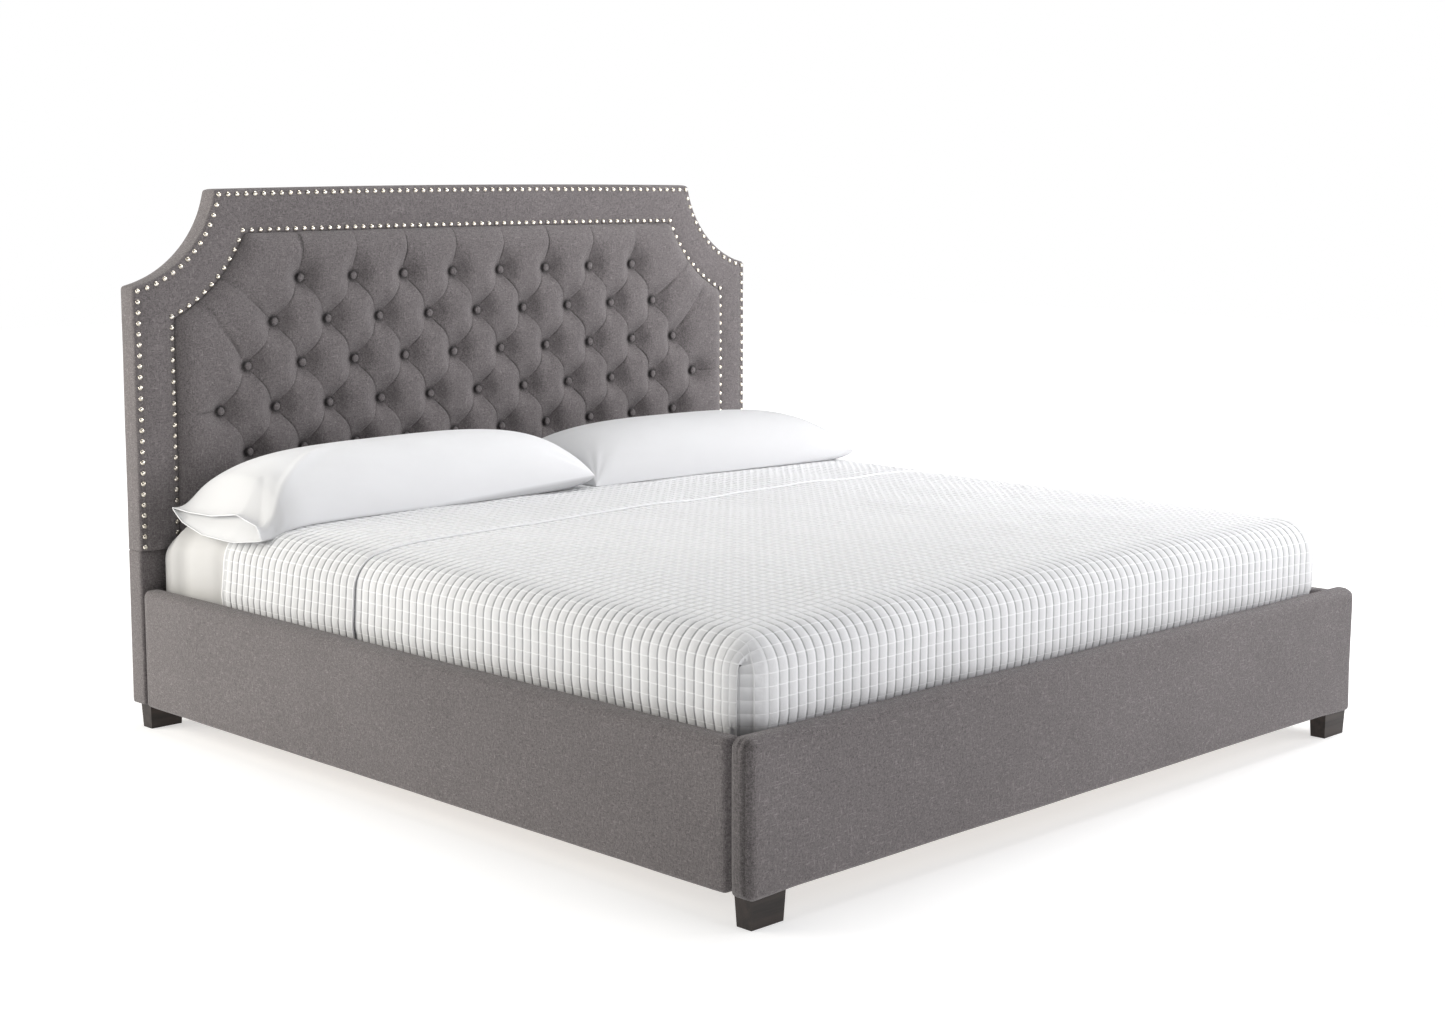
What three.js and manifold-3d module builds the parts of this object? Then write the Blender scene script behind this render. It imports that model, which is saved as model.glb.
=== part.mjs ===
// Upholstered king-size bed: a diamond-tufted headboard with scooped corners and two rows of nails,
// padded side rails and footboard, a slatted base, a mattress, a fitted sheet, a quilted coverlet
// and two pillows.
// Millimetres. +X is the sleeper's left when lying on the back, +Y points to the headboard, +Z is up.
// The origin is on the floor, under the middle of the bed.

import * as THREE from 'three';
import { mergeVertices } from 'three/addons/utils/BufferGeometryUtils.js';
import Module from 'manifold-3d';

const wasm = await Module();
wasm.setup();

// ---------------------------------------------------------------- driving dimensions

const bed = { width: 2100, length: 2160, height: 1326 };
const gap = 0.3; // left between pieces that touch
const underside = 60; // height of the upholstery above the floor

const footboard = { thickness: 56, top: 360, edgeRadius: 20, padding: 11.7 };
const rail = { thickness: 52, top: 350, edgeRadius: 16, padding: 12, endGap: 3 };

const headboard = {
  width: 2088,
  thickness: 62,
  seamHeight: 444, // the border and the tufted panel end here, over a plain lower part
  rimThickness: 10, // padding where the border wraps round the edge
  bandWidth: 91, // between the two rows of nails
  nailInset: 12.5, // from the edge to the outer row
  notchRadius: 294.5, // each top corner is scooped by this circle
  notchCentre: { x: 1098, z: 1380 },
  tuftHeight: 32, // crest of the tufted panel in front of the border
  lowerRecess: 4, // the plain lower part lies this far behind the border
};
const nail = { radius: 6, height: 4, pitch: 26.3, sides: 6, stripWidth: 9, stripHeight: 1.2 };

const leg = { height: 60, bottom: [84, 38], top: [90, 44], x: 989, frontInset: 31, backInset: 45 };
const centreLeg = { side: 45, bottom: 21, spacing: 610, count: 3 };
const glide = { radius: 18, thickness: 7.7, stemRadius: 5, stemLength: 38, boreRadius: 5.5 };

const slat = { width: 90, thickness: 18, length: 1960, count: 12, span: 1900 };
const ledger = { side: 40, bottom: 209 };
const beam = { width: 45, height: 60 };

const mattress = {
  width: 1936,
  footGap: 12, // between the mattress and the footboard
  headGap: 4, // between the mattress and the crest of the tufted panel
  bottom: 268,
  edgeRadius: 80,
  sideTop: 430, // the sides are upright to here
  crown: 25, // rise of the top from its edges to its middle
};
const coverlet = { top: 12, side: 20, foot: 11, bottom: 290, fold: 703, flapEdge: 197 };
const flap = { top: 22, side: 27 };
const sheet = { thickness: 2, bottom: 269 };
const pillow = { length: 926, width: 432, height: 148, rest: 549 };

// ---------------------------------------------------------------- derived places

const front = -bed.length / 2;
const back = bed.length / 2;
const footInner = front + footboard.thickness; // inner face of the footboard
const headFront = back - headboard.thickness; // front face of the headboard's border
const lowerFront = headFront + headboard.lowerRecess;
const railInner = bed.width / 2 - rail.thickness;
const ledgerTop = ledger.bottom + ledger.side;

const plywood = { front: headFront + 19.7, thickness: 12 };
const batten = { front: plywood.front + plywood.thickness + gap, thickness: 27.7, width: 70 };
const backCoverThickness = 2 - gap;

const mattressFoot = footInner + mattress.footGap;
const mattressHead = headFront - headboard.tuftHeight - mattress.headGap;

// ---------------------------------------------------------------- materials

function material(colour, roughness, metalness = 0) {
  return new THREE.MeshStandardMaterial({ color: colour, roughness, metalness });
}
const linen = () => material(0x8a8581, 0.95);
const lining = () => material(0x5a5754, 0.95);
const darkWood = () => material(0x3b2f2a, 0.45);
const pine = () => material(0xc9a878, 0.7);
const ply = () => material(0xb99468, 0.7);
const nickel = () => material(0xd8d2c6, 0.25, 1);
const steel = () => material(0x4a4b4e, 0.4, 1);
const plastic = () => material(0x222222, 0.6);
const whiteCotton = () => material(0xf2f3f5, 0.9);
const ticking = () => material(0xe6e4df, 0.9);

// ---------------------------------------------------------------- solids

// A closed geometry as a manifold solid, for joining and cutting.
function solid(geometry) {
  const bare = new THREE.BufferGeometry();
  bare.setAttribute('position', geometry.getAttribute('position'));
  if (geometry.index) bare.setIndex(geometry.index);
  const merged = mergeVertices(bare, 1e-4);
  return new wasm.Manifold(
    new wasm.Mesh({
      numProp: 3,
      vertProperties: new Float32Array(merged.getAttribute('position').array),
      triVerts: new Uint32Array(merged.index.array),
    }),
  );
}

function geometryOf(manifold) {
  const mesh = manifold.getMesh();
  const geometry = new THREE.BufferGeometry();
  geometry.setAttribute('position', new THREE.BufferAttribute(mesh.vertProperties, 3));
  geometry.setIndex(new THREE.BufferAttribute(mesh.triVerts, 1));
  return geometry;
}

// A box between two opposite corners.
function block(x, y, z) {
  const geometry = new THREE.BoxGeometry(x[1] - x[0], y[1] - y[0], z[1] - z[0]);
  return geometry.translate((x[0] + x[1]) / 2, (y[0] + y[1]) / 2, (z[0] + z[1]) / 2);
}

function extrusion(points, depth) {
  const outline = new THREE.Shape(points.map(([a, b]) => new THREE.Vector2(a, b)));
  return new THREE.ExtrudeGeometry(outline, { depth, bevelEnabled: false });
}

// An outline of [x, z] points, extruded from y[0] to y[1].
function alongY(points, y) {
  return extrusion(points, y[1] - y[0]).rotateX(Math.PI / 2).translate(0, y[1], 0);
}

// An outline of [y, z] points, extruded from x[0] to x[1].
function alongX(points, x) {
  const turn = new THREE.Matrix4().makeBasis(
    new THREE.Vector3(0, 1, 0),
    new THREE.Vector3(0, 0, 1),
    new THREE.Vector3(1, 0, 0),
  );
  return extrusion(points, x[1] - x[0]).applyMatrix4(turn).translate(x[0], 0, 0);
}

// A bar along X with the given radius, centred on y and z.
function rodAlongX(radius, x, y, z, sides = 12) {
  const rod = new THREE.CylinderGeometry(radius, radius, x[1] - x[0], sides);
  return rod.rotateZ(Math.PI / 2).translate((x[0] + x[1]) / 2, y, z);
}

function rodAlongZ(radius, z, x, y, sides = 12) {
  const rod = new THREE.CylinderGeometry(radius, radius, z[1] - z[0], sides);
  return rod.rotateX(Math.PI / 2).translate(x, y, (z[0] + z[1]) / 2);
}

// Points on an ellipse about a centre, from one angle to another, both in degrees.
function arc(centre, radii, from, to, steps) {
  const points = [];
  for (let i = 0; i <= steps; i++) {
    const angle = THREE.MathUtils.degToRad(from + ((to - from) * i) / steps);
    points.push([centre[0] + radii[0] * Math.cos(angle), centre[1] + radii[1] * Math.sin(angle)]);
  }
  return points;
}

// A rectangle with its two upper corners rounded.
function roundTopped(across, up, radius) {
  const [left, right] = across;
  const [bottom, top] = up;
  const radii = [radius, radius];
  return [
    [left, bottom],
    [right, bottom],
    ...arc([right - radius, top - radius], radii, 0, 90, 4),
    ...arc([left + radius, top - radius], radii, 90, 180, 4),
  ];
}

// ---------------------------------------------------------------- scene graph

const group = new THREE.Group();

function add(name, geometry, itsMaterial) {
  const mesh = new THREE.Mesh(geometry, itsMaterial);
  mesh.name = name;
  group.add(mesh);
  return mesh;
}

const sides = [
  ['left', -1],
  ['right', 1],
];

// A span along X, mirrored to the given side of the bed.
function onSide(sign, inner, outer) {
  return sign > 0 ? [inner, outer] : [-outer, -inner];
}

// ---------------------------------------------------------------- headboard

// The headboard's outline, moved inwards by an inset: up the left side, over the scooped
// corners and the top, and down the right side.
function headboardPath(inset, bottom, arcSteps = 10) {
  const halfWidth = headboard.width / 2 - inset;
  const top = bed.height - inset;
  const radius = headboard.notchRadius + inset;
  const { x: cx, z: cz } = headboard.notchCentre;
  const shoulder = cz - Math.sqrt(radius ** 2 - (cx - halfWidth) ** 2);
  const corner = cx - Math.sqrt(radius ** 2 - (cz - top) ** 2);
  const degrees = (z, x) => THREE.MathUtils.radToDeg(Math.atan2(z - cz, x - cx));
  const from = degrees(shoulder, halfWidth);
  const to = degrees(top, corner);
  const rightNotch = arc([cx, cz], [radius, radius], to, from, arcSteps);
  const leftNotch = rightNotch.map(([x, z]) => [-x, z]).reverse();
  return [[-halfWidth, bottom], ...leftNotch, ...rightNotch, [halfWidth, bottom]];
}

// The closed band between two insets of the headboard's outline.
function headboardBand(outerInset, innerInset, bottom) {
  return [...headboardPath(outerInset, bottom), ...headboardPath(innerInset, bottom).reverse()];
}

// Points a fixed distance apart along a path.
function evenlySpaced(path, pitch) {
  const curve = new THREE.CurvePath();
  for (let i = 1; i < path.length; i++) {
    curve.add(new THREE.LineCurve(new THREE.Vector2(...path[i - 1]), new THREE.Vector2(...path[i])));
  }
  const count = Math.round(curve.getLength() / pitch);
  return curve.getSpacedPoints(count);
}

// A row of domed nails, joined by the narrow strip that they sit on.
function nailRow(inset) {
  const bottom = headboard.seamHeight + 4;
  const half = nail.stripWidth / 2;
  const face = headFront - gap;
  const strip = alongY(headboardBand(inset - half, inset + half, bottom), [face - nail.stripHeight, face]);
  const heads = [];
  for (const point of evenlySpaced(headboardPath(inset, bottom + nail.radius, 16), nail.pitch)) {
    const dome = new THREE.CylinderGeometry(nail.radius, nail.radius * 0.45, nail.height, nail.sides);
    heads.push(solid(dome.translate(point.x, face - nail.height / 2 - 0.2, point.y)));
  }
  return geometryOf(wasm.Manifold.union([solid(strip), ...heads]));
}

function headboardCovers() {
  const panelInset = headboard.nailInset + headboard.bandWidth + nail.radius + 1;
  const border = solid(
    alongY(headboardBand(0, panelInset, headboard.seamHeight), [headFront, plywood.front - gap]),
  ).add(solid(alongY(headboardBand(0, headboard.rimThickness, headboard.seamHeight), [headFront, back])));
  add('headboard_border', geometryOf(border), linen());

  const panelOutline = headboardPath(panelInset + gap, headboard.seamHeight);
  const panelFront = headFront - headboard.tuftHeight;
  add('headboard_tufted_panel', alongY(panelOutline, [panelFront, plywood.front - gap]), linen());

  const half = headboard.width / 2;
  const top = headboard.seamHeight - gap;
  const lower = solid(block([-half, half], [lowerFront, back], [underside, top]));
  const inside = half - headboard.rimThickness;
  const hollow = solid(block([-inside, inside], [plywood.front - gap, back + 1], [underside - 1, top + 1]));
  add('headboard_lower_cover', geometryOf(lower.subtract(hollow)), linen());

  const backOutline = headboardPath(headboard.rimThickness + gap, underside + 4);
  add('headboard_back_cover', alongY(backOutline, [back - backCoverThickness, back]), lining());
}

function headboardFrame() {
  const inset = headboard.rimThickness + gap;
  const bottom = underside + 2;
  const plyBack = plywood.front + plywood.thickness;
  add('headboard_plywood', alongY(headboardPath(inset, bottom), [plywood.front, plyBack]), ply());

  const depth = [batten.front, batten.front + batten.thickness];
  const outer = headboard.width / 2 - inset - 2;
  const inner = outer - batten.width;
  for (const [side, sign] of sides) {
    const stile = block(onSide(sign, inner, outer), depth, [bottom, 1075]);
    add(`headboard_stile_${side}`, stile, pine());
  }
  const reach = inner - gap;
  const topReach = 790;
  const crossRails = [
    ['top', topReach, 1240],
    ['middle', reach, 700],
    ['bottom', reach, 150],
  ];
  for (const [name, halfLength, height] of crossRails) {
    const crossRail = block([-halfLength, halfLength], depth, [height, height + batten.width]);
    add(`headboard_cross_rail_${name}`, crossRail, pine());
  }
}

headboardFrame();
headboardCovers();
add('nail_row_outer', nailRow(headboard.nailInset), nickel());
add('nail_row_inner', nailRow(headboard.nailInset + headboard.bandWidth), nickel());

// ---------------------------------------------------------------- footboard and side rails

const footCore = {
  x: bed.width / 2 - footboard.padding,
  y: [front + footboard.padding, footInner - footboard.padding],
  z: [underside + 2, footboard.top - footboard.padding],
};

function footboardPieces() {
  add('footboard_core', block([-footCore.x, footCore.x], footCore.y, footCore.z), pine());
  const half = bed.width / 2;
  const section = roundTopped([front, footInner], [underside, footboard.top], footboard.edgeRadius);
  const hollow = block(
    [-footCore.x - gap, footCore.x + gap],
    [footCore.y[0] - gap, footCore.y[1] + gap],
    [underside - 1, footCore.z[1] + gap],
  );
  const cover = solid(alongX(section, [-half, half])).subtract(solid(hollow));
  add('footboard_cover', geometryOf(cover), linen());
}

const railEnds = [footInner + gap, headFront - rail.endGap];
const bracket = { leg: 70, thickness: 3, z: [90, 200], boltDrop: 55, boltReach: 35 };
const bolt = { radius: 4, head: 7.5, headThickness: 5.5, length: 42, holeRadius: 4.7 };
const boltHeight = bracket.z[1] - bracket.boltDrop;

// Where the two bolts through each side rail sit along the bed.
const boltPlaces = { foot: footInner + bracket.boltReach, head: lowerFront - bracket.boltReach };

function sideRail(side, sign) {
  const outer = bed.width / 2;
  const corePart = onSide(sign, railInner + rail.padding, outer - rail.padding);
  const coreLength = [railEnds[0] + rail.padding, railEnds[1] - rail.padding];
  const coreHeight = [underside + 2, rail.top - rail.padding];
  let core = solid(block(corePart, coreLength, coreHeight));

  const across = onSide(sign, railInner, outer);
  const section = roundTopped(across, [underside, rail.top], rail.edgeRadius);
  const hollow = block(
    [corePart[0] - gap, corePart[1] + gap],
    [coreLength[0] - gap, coreLength[1] + gap],
    [underside - 1, coreHeight[1] + gap],
  );
  let cover = solid(alongY(section, railEnds)).subtract(solid(hollow));

  const boltSpan = onSide(sign, railInner - 1, railInner + bolt.length);
  for (const y of Object.values(boltPlaces)) {
    const hole = solid(rodAlongX(bolt.holeRadius, boltSpan, y, boltHeight, 8));
    core = core.subtract(hole);
    cover = cover.subtract(hole);
  }
  add(`side_rail_core_${side}`, geometryOf(core), pine());
  add(`side_rail_cover_${side}`, geometryOf(cover), linen());

  const ledgerAcross = onSide(sign, railInner - gap - ledger.side, railInner - gap);
  const ledgerLength = [railEnds[0] + 12, railEnds[1] - 14];
  const ledgerBar = block(ledgerAcross, ledgerLength, [ledger.bottom, ledgerTop]);
  add(`slat_ledger_${side}`, ledgerBar, pine());
}

// A steel angle in the corner between a side rail and a board, with its bolt into the rail.
function corner(side, sign, end) {
  const direction = end === 'head' ? 1 : -1;
  const boardFace = end === 'head' ? lowerFront - gap : footInner + gap;
  const spanFrom = (distance, thickness) => {
    const a = boardFace - direction * distance;
    const b = boardFace - direction * (distance + thickness);
    return [Math.min(a, b), Math.max(a, b)];
  };
  const face = railInner - gap;
  const railLegX = onSide(sign, face - bracket.thickness, face);
  const railLeg = solid(block(railLegX, spanFrom(0, bracket.leg), bracket.z));
  const boardLegX = onSide(sign, face - bracket.leg, face);
  const boardLeg = solid(block(boardLegX, spanFrom(0, bracket.thickness), bracket.z));
  const y = boltPlaces[end];
  const holeSpan = onSide(sign, face - bracket.thickness - 1, face + 1);
  const hole = solid(rodAlongX(bolt.holeRadius, holeSpan, y, boltHeight, 8));
  add(`corner_bracket_${end}_${side}`, geometryOf(railLeg.add(boardLeg).subtract(hole)), steel());

  const seat = face - bracket.thickness - gap;
  const head = solid(rodAlongX(bolt.head, onSide(sign, seat - bolt.headThickness, seat), y, boltHeight, 6));
  const shankX = onSide(sign, seat - 1, seat + bolt.length - 5);
  const shank = solid(rodAlongX(bolt.radius, shankX, y, boltHeight, 8));
  add(`corner_bolt_${end}_${side}`, geometryOf(head.add(shank)), steel());
}

footboardPieces();
for (const [side, sign] of sides) {
  sideRail(side, sign);
  corner(side, sign, 'head');
  corner(side, sign, 'foot');
}

// ---------------------------------------------------------------- legs

// A block that widens upwards from its lower face to its upper face.
function taperedBlock(bottom, top, height) {
  const geometry = new THREE.BoxGeometry(1, 1, height).translate(0, 0, height / 2);
  const position = geometry.getAttribute('position');
  for (let i = 0; i < position.count; i++) {
    const [width, depth] = position.getZ(i) > height / 2 ? top : bottom;
    position.setX(i, position.getX(i) * width);
    position.setY(i, position.getY(i) * depth);
  }
  return geometry;
}

for (const [side, sign] of sides) {
  for (const [end, y] of [['front', front + leg.frontInset], ['rear', back - leg.backInset]]) {
    const mesh = add(`leg_${end}_${side}`, taperedBlock(leg.bottom, leg.top, leg.height - gap), darkWood());
    mesh.position.set(sign * leg.x, y, 0);
  }
}

// ---------------------------------------------------------------- slatted base

const beamTop = ledgerTop;
const beamBottom = beamTop - beam.height;
const beamBracket = { plate: 3, halfWidth: 45, reach: 48, cheek: 2.7 };
const beamEnds = [footInner + gap + beamBracket.plate + gap, lowerFront - gap - beamBracket.plate - gap];

// A steel pocket that carries one end of the centre beam.
function beamPocket(name, face, direction) {
  const span = (from, to) => [Math.min(face + direction * from, face + direction * to),
    Math.max(face + direction * from, face + direction * to)];
  const inner = beam.width / 2 + gap;
  const outer = inner + beamBracket.cheek;
  const shelf = [beamBottom - gap - beamBracket.cheek, beamBottom - gap];
  const plate = block([-beamBracket.halfWidth, beamBracket.halfWidth], span(0, beamBracket.plate),
    [shelf[0] - 8, beamTop - 6]);
  let pocket = solid(plate).add(solid(block([-outer, outer], span(1, beamBracket.reach), shelf)));
  for (const cheek of [[-outer, -inner], [inner, outer]]) {
    pocket = pocket.add(solid(block(cheek, span(1, beamBracket.reach), [shelf[0], beamTop - 12])));
  }
  add(name, geometryOf(pocket), steel());
}

function centreSupport() {
  const half = beam.width / 2;
  add('centre_beam', block([-half, half], beamEnds, [beamBottom, beamTop]), pine());
  beamPocket('beam_bracket_foot', footInner + gap, 1);
  beamPocket('beam_bracket_head', lowerFront - gap, -1);

  const stemTop = centreLeg.bottom + glide.stemLength;
  for (let i = 0; i < centreLeg.count; i++) {
    const y = (i - (centreLeg.count - 1) / 2) * centreLeg.spacing;
    const halfSide = centreLeg.side / 2;
    const postY = [y - halfSide, y + halfSide];
    const post = block([-halfSide, halfSide], postY, [centreLeg.bottom, beamBottom - gap]);
    const bore = rodAlongZ(glide.boreRadius, [centreLeg.bottom - 1, stemTop + 2], 0, y, 10);
    add(`centre_leg_${i + 1}`, geometryOf(solid(post).subtract(solid(bore))), pine());

    const discTop = centreLeg.bottom - gap;
    const disc = solid(rodAlongZ(glide.radius, [discTop - glide.thickness, discTop], 0, y, 16));
    const stem = solid(rodAlongZ(glide.stemRadius, [discTop - 1, stemTop], 0, y, 10));
    add(`levelling_glide_${i + 1}`, geometryOf(disc.add(stem)), plastic());
  }
}

function slats() {
  const half = slat.length / 2;
  const height = [ledgerTop + gap, ledgerTop + gap + slat.thickness];
  const firstY = (mattressFoot + mattressHead - slat.span) / 2;
  for (let i = 0; i < slat.count; i++) {
    const y = firstY + (slat.span * i) / (slat.count - 1);
    const name = `slat_${String(i + 1).padStart(2, '0')}`;
    add(name, block([-half, half], [y - slat.width / 2, y + slat.width / 2], height), pine());
  }
}

centreSupport();
slats();

// ---------------------------------------------------------------- mattress and bedding

// A section with upright sides, rounded shoulders and a crowned top. The grown section
// lies outside it by `side` at the sides and by `top` above.
function crownedSection(from, to, bottom, side, top) {
  const radius = mattress.edgeRadius;
  const radii = [radius + side, radius + top];
  const left = from + radius;
  const right = to - radius;
  const middle = (left + right) / 2;
  const half = (right - left) / 2;
  const steps = 8;
  const crown = [];
  for (let i = 1; i < steps; i++) {
    const a = left + ((right - left) * i) / steps;
    const rise = mattress.crown * (1 - ((a - middle) / half) ** 2);
    crown.push([a, mattress.sideTop + radii[1] + rise]);
  }
  return [
    [to + side, bottom],
    ...arc([right, mattress.sideTop], radii, 0, 90, 5),
    ...crown.reverse(),
    ...arc([left, mattress.sideTop], radii, 90, 180, 5),
    [from - side, bottom],
  ];
}

// The mattress's form grown outwards, kept between two places along the bed.
function beddingForm(grow, y, bottom) {
  const half = mattress.width / 2;
  const sideways = crownedSection(-half, half, bottom, grow.side, grow.top);
  const lengthways = crownedSection(mattressFoot, mattressHead, bottom, grow.foot ?? grow.side, grow.top);
  const reach = half + grow.side + 10;
  return solid(alongY(sideways, y)).intersect(solid(alongX(lengthways, [-reach, reach])));
}

function bedding() {
  const all = [mattressFoot - 50, mattressHead + 50];
  const body = beddingForm({ side: 0, top: 0 }, all, mattress.bottom);
  add('mattress', geometryOf(body), ticking());

  const inside = beddingForm({ side: gap, top: gap }, all, mattress.bottom - 20);
  const sheetSize = sheet.thickness + gap;
  const sheetOuter = beddingForm({ side: sheetSize, top: sheetSize }, all, sheet.bottom);
  add('fitted_sheet', geometryOf(sheetOuter.subtract(inside)), whiteCotton());

  const sheetRoom = beddingForm({ side: sheetSize + gap, top: sheetSize + gap }, all, mattress.bottom - 20);
  const cover = beddingForm(coverlet, [all[0], coverlet.fold], coverlet.bottom);
  const turnedBack = beddingForm(flap, [coverlet.flapEdge, coverlet.fold], coverlet.bottom);
  add('coverlet', geometryOf(cover.add(turnedBack).subtract(sheetRoom)), whiteCotton());
}

// A pillow: flat-ended in plan, crowned above and below.
function pillowSolid() {
  const geometry = new THREE.SphereGeometry(1, 20, 8).rotateX(Math.PI / 2);
  const position = geometry.getAttribute('position');
  const power = (value, exponent) => Math.sign(value) * Math.abs(value) ** exponent;
  for (let i = 0; i < position.count; i++) {
    const point = new THREE.Vector3().fromBufferAttribute(position, i);
    const ring = Math.hypot(point.x, point.y);
    const spread = ring > 1e-6 ? ring ** 0.6 / ring : 0;
    const x = (pillow.length / 2) * power(point.x * spread, 0.7);
    const y = (pillow.width / 2) * power(point.y * spread, 0.7);
    position.setXYZ(i, x, y, (pillow.height / 2) * point.z);
  }
  return geometryOf(solid(geometry));
}

function pillows() {
  const height = pillow.rest + pillow.height / 2;
  const left = add('pillow_left', pillowSolid(), whiteCotton());
  left.position.set(-503, 752, height);
  left.rotation.z = THREE.MathUtils.degToRad(-5);
  const right = add('pillow_right', pillowSolid(), whiteCotton());
  right.position.set(452, 722, height);
}

bedding();
pillows();

export default group;
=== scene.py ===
"""Looks of an upholstered king bed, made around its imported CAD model.

Metres, in the CAD frame: +X across, +Y to the headboard, +Z up, origin on the floor under the middle.
"""

import math

import bmesh
import bpy
import numpy as np
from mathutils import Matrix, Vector


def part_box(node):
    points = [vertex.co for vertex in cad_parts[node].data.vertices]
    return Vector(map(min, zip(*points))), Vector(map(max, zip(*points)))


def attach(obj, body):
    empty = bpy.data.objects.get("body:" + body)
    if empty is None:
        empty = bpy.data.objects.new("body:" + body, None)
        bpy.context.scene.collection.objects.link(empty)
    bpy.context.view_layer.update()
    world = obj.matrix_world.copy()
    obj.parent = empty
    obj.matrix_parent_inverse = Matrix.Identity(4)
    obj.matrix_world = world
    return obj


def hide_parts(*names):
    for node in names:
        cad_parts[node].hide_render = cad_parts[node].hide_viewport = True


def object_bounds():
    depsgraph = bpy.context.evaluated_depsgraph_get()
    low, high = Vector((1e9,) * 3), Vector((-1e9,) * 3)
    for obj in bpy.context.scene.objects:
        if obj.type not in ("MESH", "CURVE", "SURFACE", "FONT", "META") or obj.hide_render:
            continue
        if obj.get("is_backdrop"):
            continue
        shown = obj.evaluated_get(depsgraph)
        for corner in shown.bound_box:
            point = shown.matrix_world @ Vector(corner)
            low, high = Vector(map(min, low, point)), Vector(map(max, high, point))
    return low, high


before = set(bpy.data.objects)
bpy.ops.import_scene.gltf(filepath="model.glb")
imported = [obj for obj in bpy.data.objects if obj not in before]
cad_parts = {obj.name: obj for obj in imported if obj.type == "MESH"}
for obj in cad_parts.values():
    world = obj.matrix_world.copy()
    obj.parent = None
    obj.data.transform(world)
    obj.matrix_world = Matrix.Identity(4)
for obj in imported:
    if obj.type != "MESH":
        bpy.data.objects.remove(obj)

cad_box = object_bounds()

# ---------------------------------------------------------------- driving sizes

BORDER_LOW, BORDER_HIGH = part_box("headboard_border")
HALF_WIDTH = BORDER_HIGH.x
TOP = BORDER_HIGH.z
SEAM = BORDER_LOW.z
BORDER_FRONT = BORDER_LOW.y
BACK = BORDER_HIGH.y

NOTCH_RADIUS = 0.2945
NOTCH_X, NOTCH_Z = 1.098, 1.380
TOP_CROWN = 0.003  # the top rises this much in the middle and falls as much at its ends
TOP_HALF = 0.807  # half the length of the straight top

NAIL_RADIUS, NAIL_HEIGHT, NAIL_PITCH = 0.0064, 0.004, 0.0263
OUTER_NAILS, INNER_NAILS = 0.0125, 0.1035  # inset of each nail row from the headboard's edge
PANEL_INSET = 0.1105

BUTTON_PITCH = 0.1631
BUTTON_ROW_STEP = 0.1085
FIRST_BUTTON_ROW = 1.0985
BUTTONS_IN_ROW = (8, 9, 10, 11, 10, 11)
BUTTON_RADIUS = 0.011
PUFF_CREST = 0.0315  # the tufted puffs stand this far in front of the border
BUTTON_SEAT = 0.003  # height of the cloth under a button
PIT_FLOOR, PIT_SLOPE = 0.012, 0.015  # radius of the flat pit round a button, and how gently it rises
PLEAT_REACH = 0.064  # a pleat draws the puff down this far to each side

QUILT_CELL = 0.0250
HALF_CELL = QUILT_CELL / 2  # the cloth's middle line runs through the middle of a cell
QUILT_PUFF = 0.0026
HANGING_CELLS = 11.5  # the coverlet hangs this many cells past the flat part of the bed

AMBIENT = 0.17  # light from the backdrop

# ---------------------------------------------------------------- small helpers


def smoothstep(low, high, value):
    """0 before low and 1 past high, with a smooth rise between them."""
    t = np.clip((value - low) / (high - low), 0, 1)
    return t * t * (3 - 2 * t)


def ripple(points, wavelength, amplitude, seed):
    """Smooth unevenness over space: a sum of a few waves in random directions."""
    rng = np.random.default_rng(seed)
    total = np.zeros(len(points))
    waves = 6
    for _ in range(waves):
        direction = rng.normal(size=3)
        direction /= np.linalg.norm(direction)
        frequency = 2 * math.pi / wavelength * rng.uniform(0.7, 1.5)
        total += np.sin(points @ direction * frequency + rng.uniform(0, 2 * math.pi))
    return amplitude * total / math.sqrt(waves)


def mesh_object(name, points, faces, material):
    mesh = bpy.data.meshes.new(name)
    mesh.from_pydata(np.asarray(points).tolist(), [], [list(map(int, f)) for f in faces])
    mesh.validate()
    mesh.polygons.foreach_set("use_smooth", [True] * len(mesh.polygons))
    mesh.materials.append(material)
    thing = bpy.data.objects.new(name, mesh)
    bpy.context.scene.collection.objects.link(thing)
    return thing


def shade(thing, darkness):
    """Stores painted shade: how much each point's colour is darkened, from 0 to 1, where cloth is drawn
    into a fold or seam and wherever a part is made to look less lit.
    """
    values = thing.data.attributes.new("painted_shade", "FLOAT", "POINT")
    values.data.foreach_set("value", np.clip(darkness, 0, 1).astype(np.float32))


def grid_faces(rows, columns, first=0, wrap_columns=False):
    """Four-sided faces between rows of points. first is the number of the grid's first point."""
    index = np.arange(rows * columns).reshape(rows, columns) + first
    if wrap_columns:
        index = np.hstack([index, index[:, :1]])
    corners = [index[:-1, :-1], index[:-1, 1:], index[1:, 1:], index[1:, :-1]]
    return np.stack(corners, -1).reshape(-1, 4)


def tube_faces(rows, columns):
    """Faces of a tube made of rows of points, closed at both ends."""
    last = columns * (rows - 1)
    caps = [list(range(columns))[::-1], list(range(last, last + columns))]
    return grid_faces(rows, columns, wrap_columns=True).tolist() + caps


def weld(thing, distance):
    """Joins the points of a piece that are closer together than a distance."""
    thing.modifiers.new("Weld", "WELD").merge_threshold = distance
    view = bpy.context.evaluated_depsgraph_get()
    mesh = bpy.data.meshes.new_from_object(thing.evaluated_get(view))
    thing.modifiers.clear()
    thing.data = mesh


def face_outward(thing):
    mesh = bmesh.new()
    mesh.from_mesh(thing.data)
    bmesh.ops.recalc_face_normals(mesh, faces=mesh.faces)
    mesh.to_mesh(thing.data)
    mesh.free()


def belongs(thing, body, slot, *nodes):
    """The piece rides on a body and stands for CAD nodes. slot is not used."""
    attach(thing, body)
    if nodes:
        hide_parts(*nodes)


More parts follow.
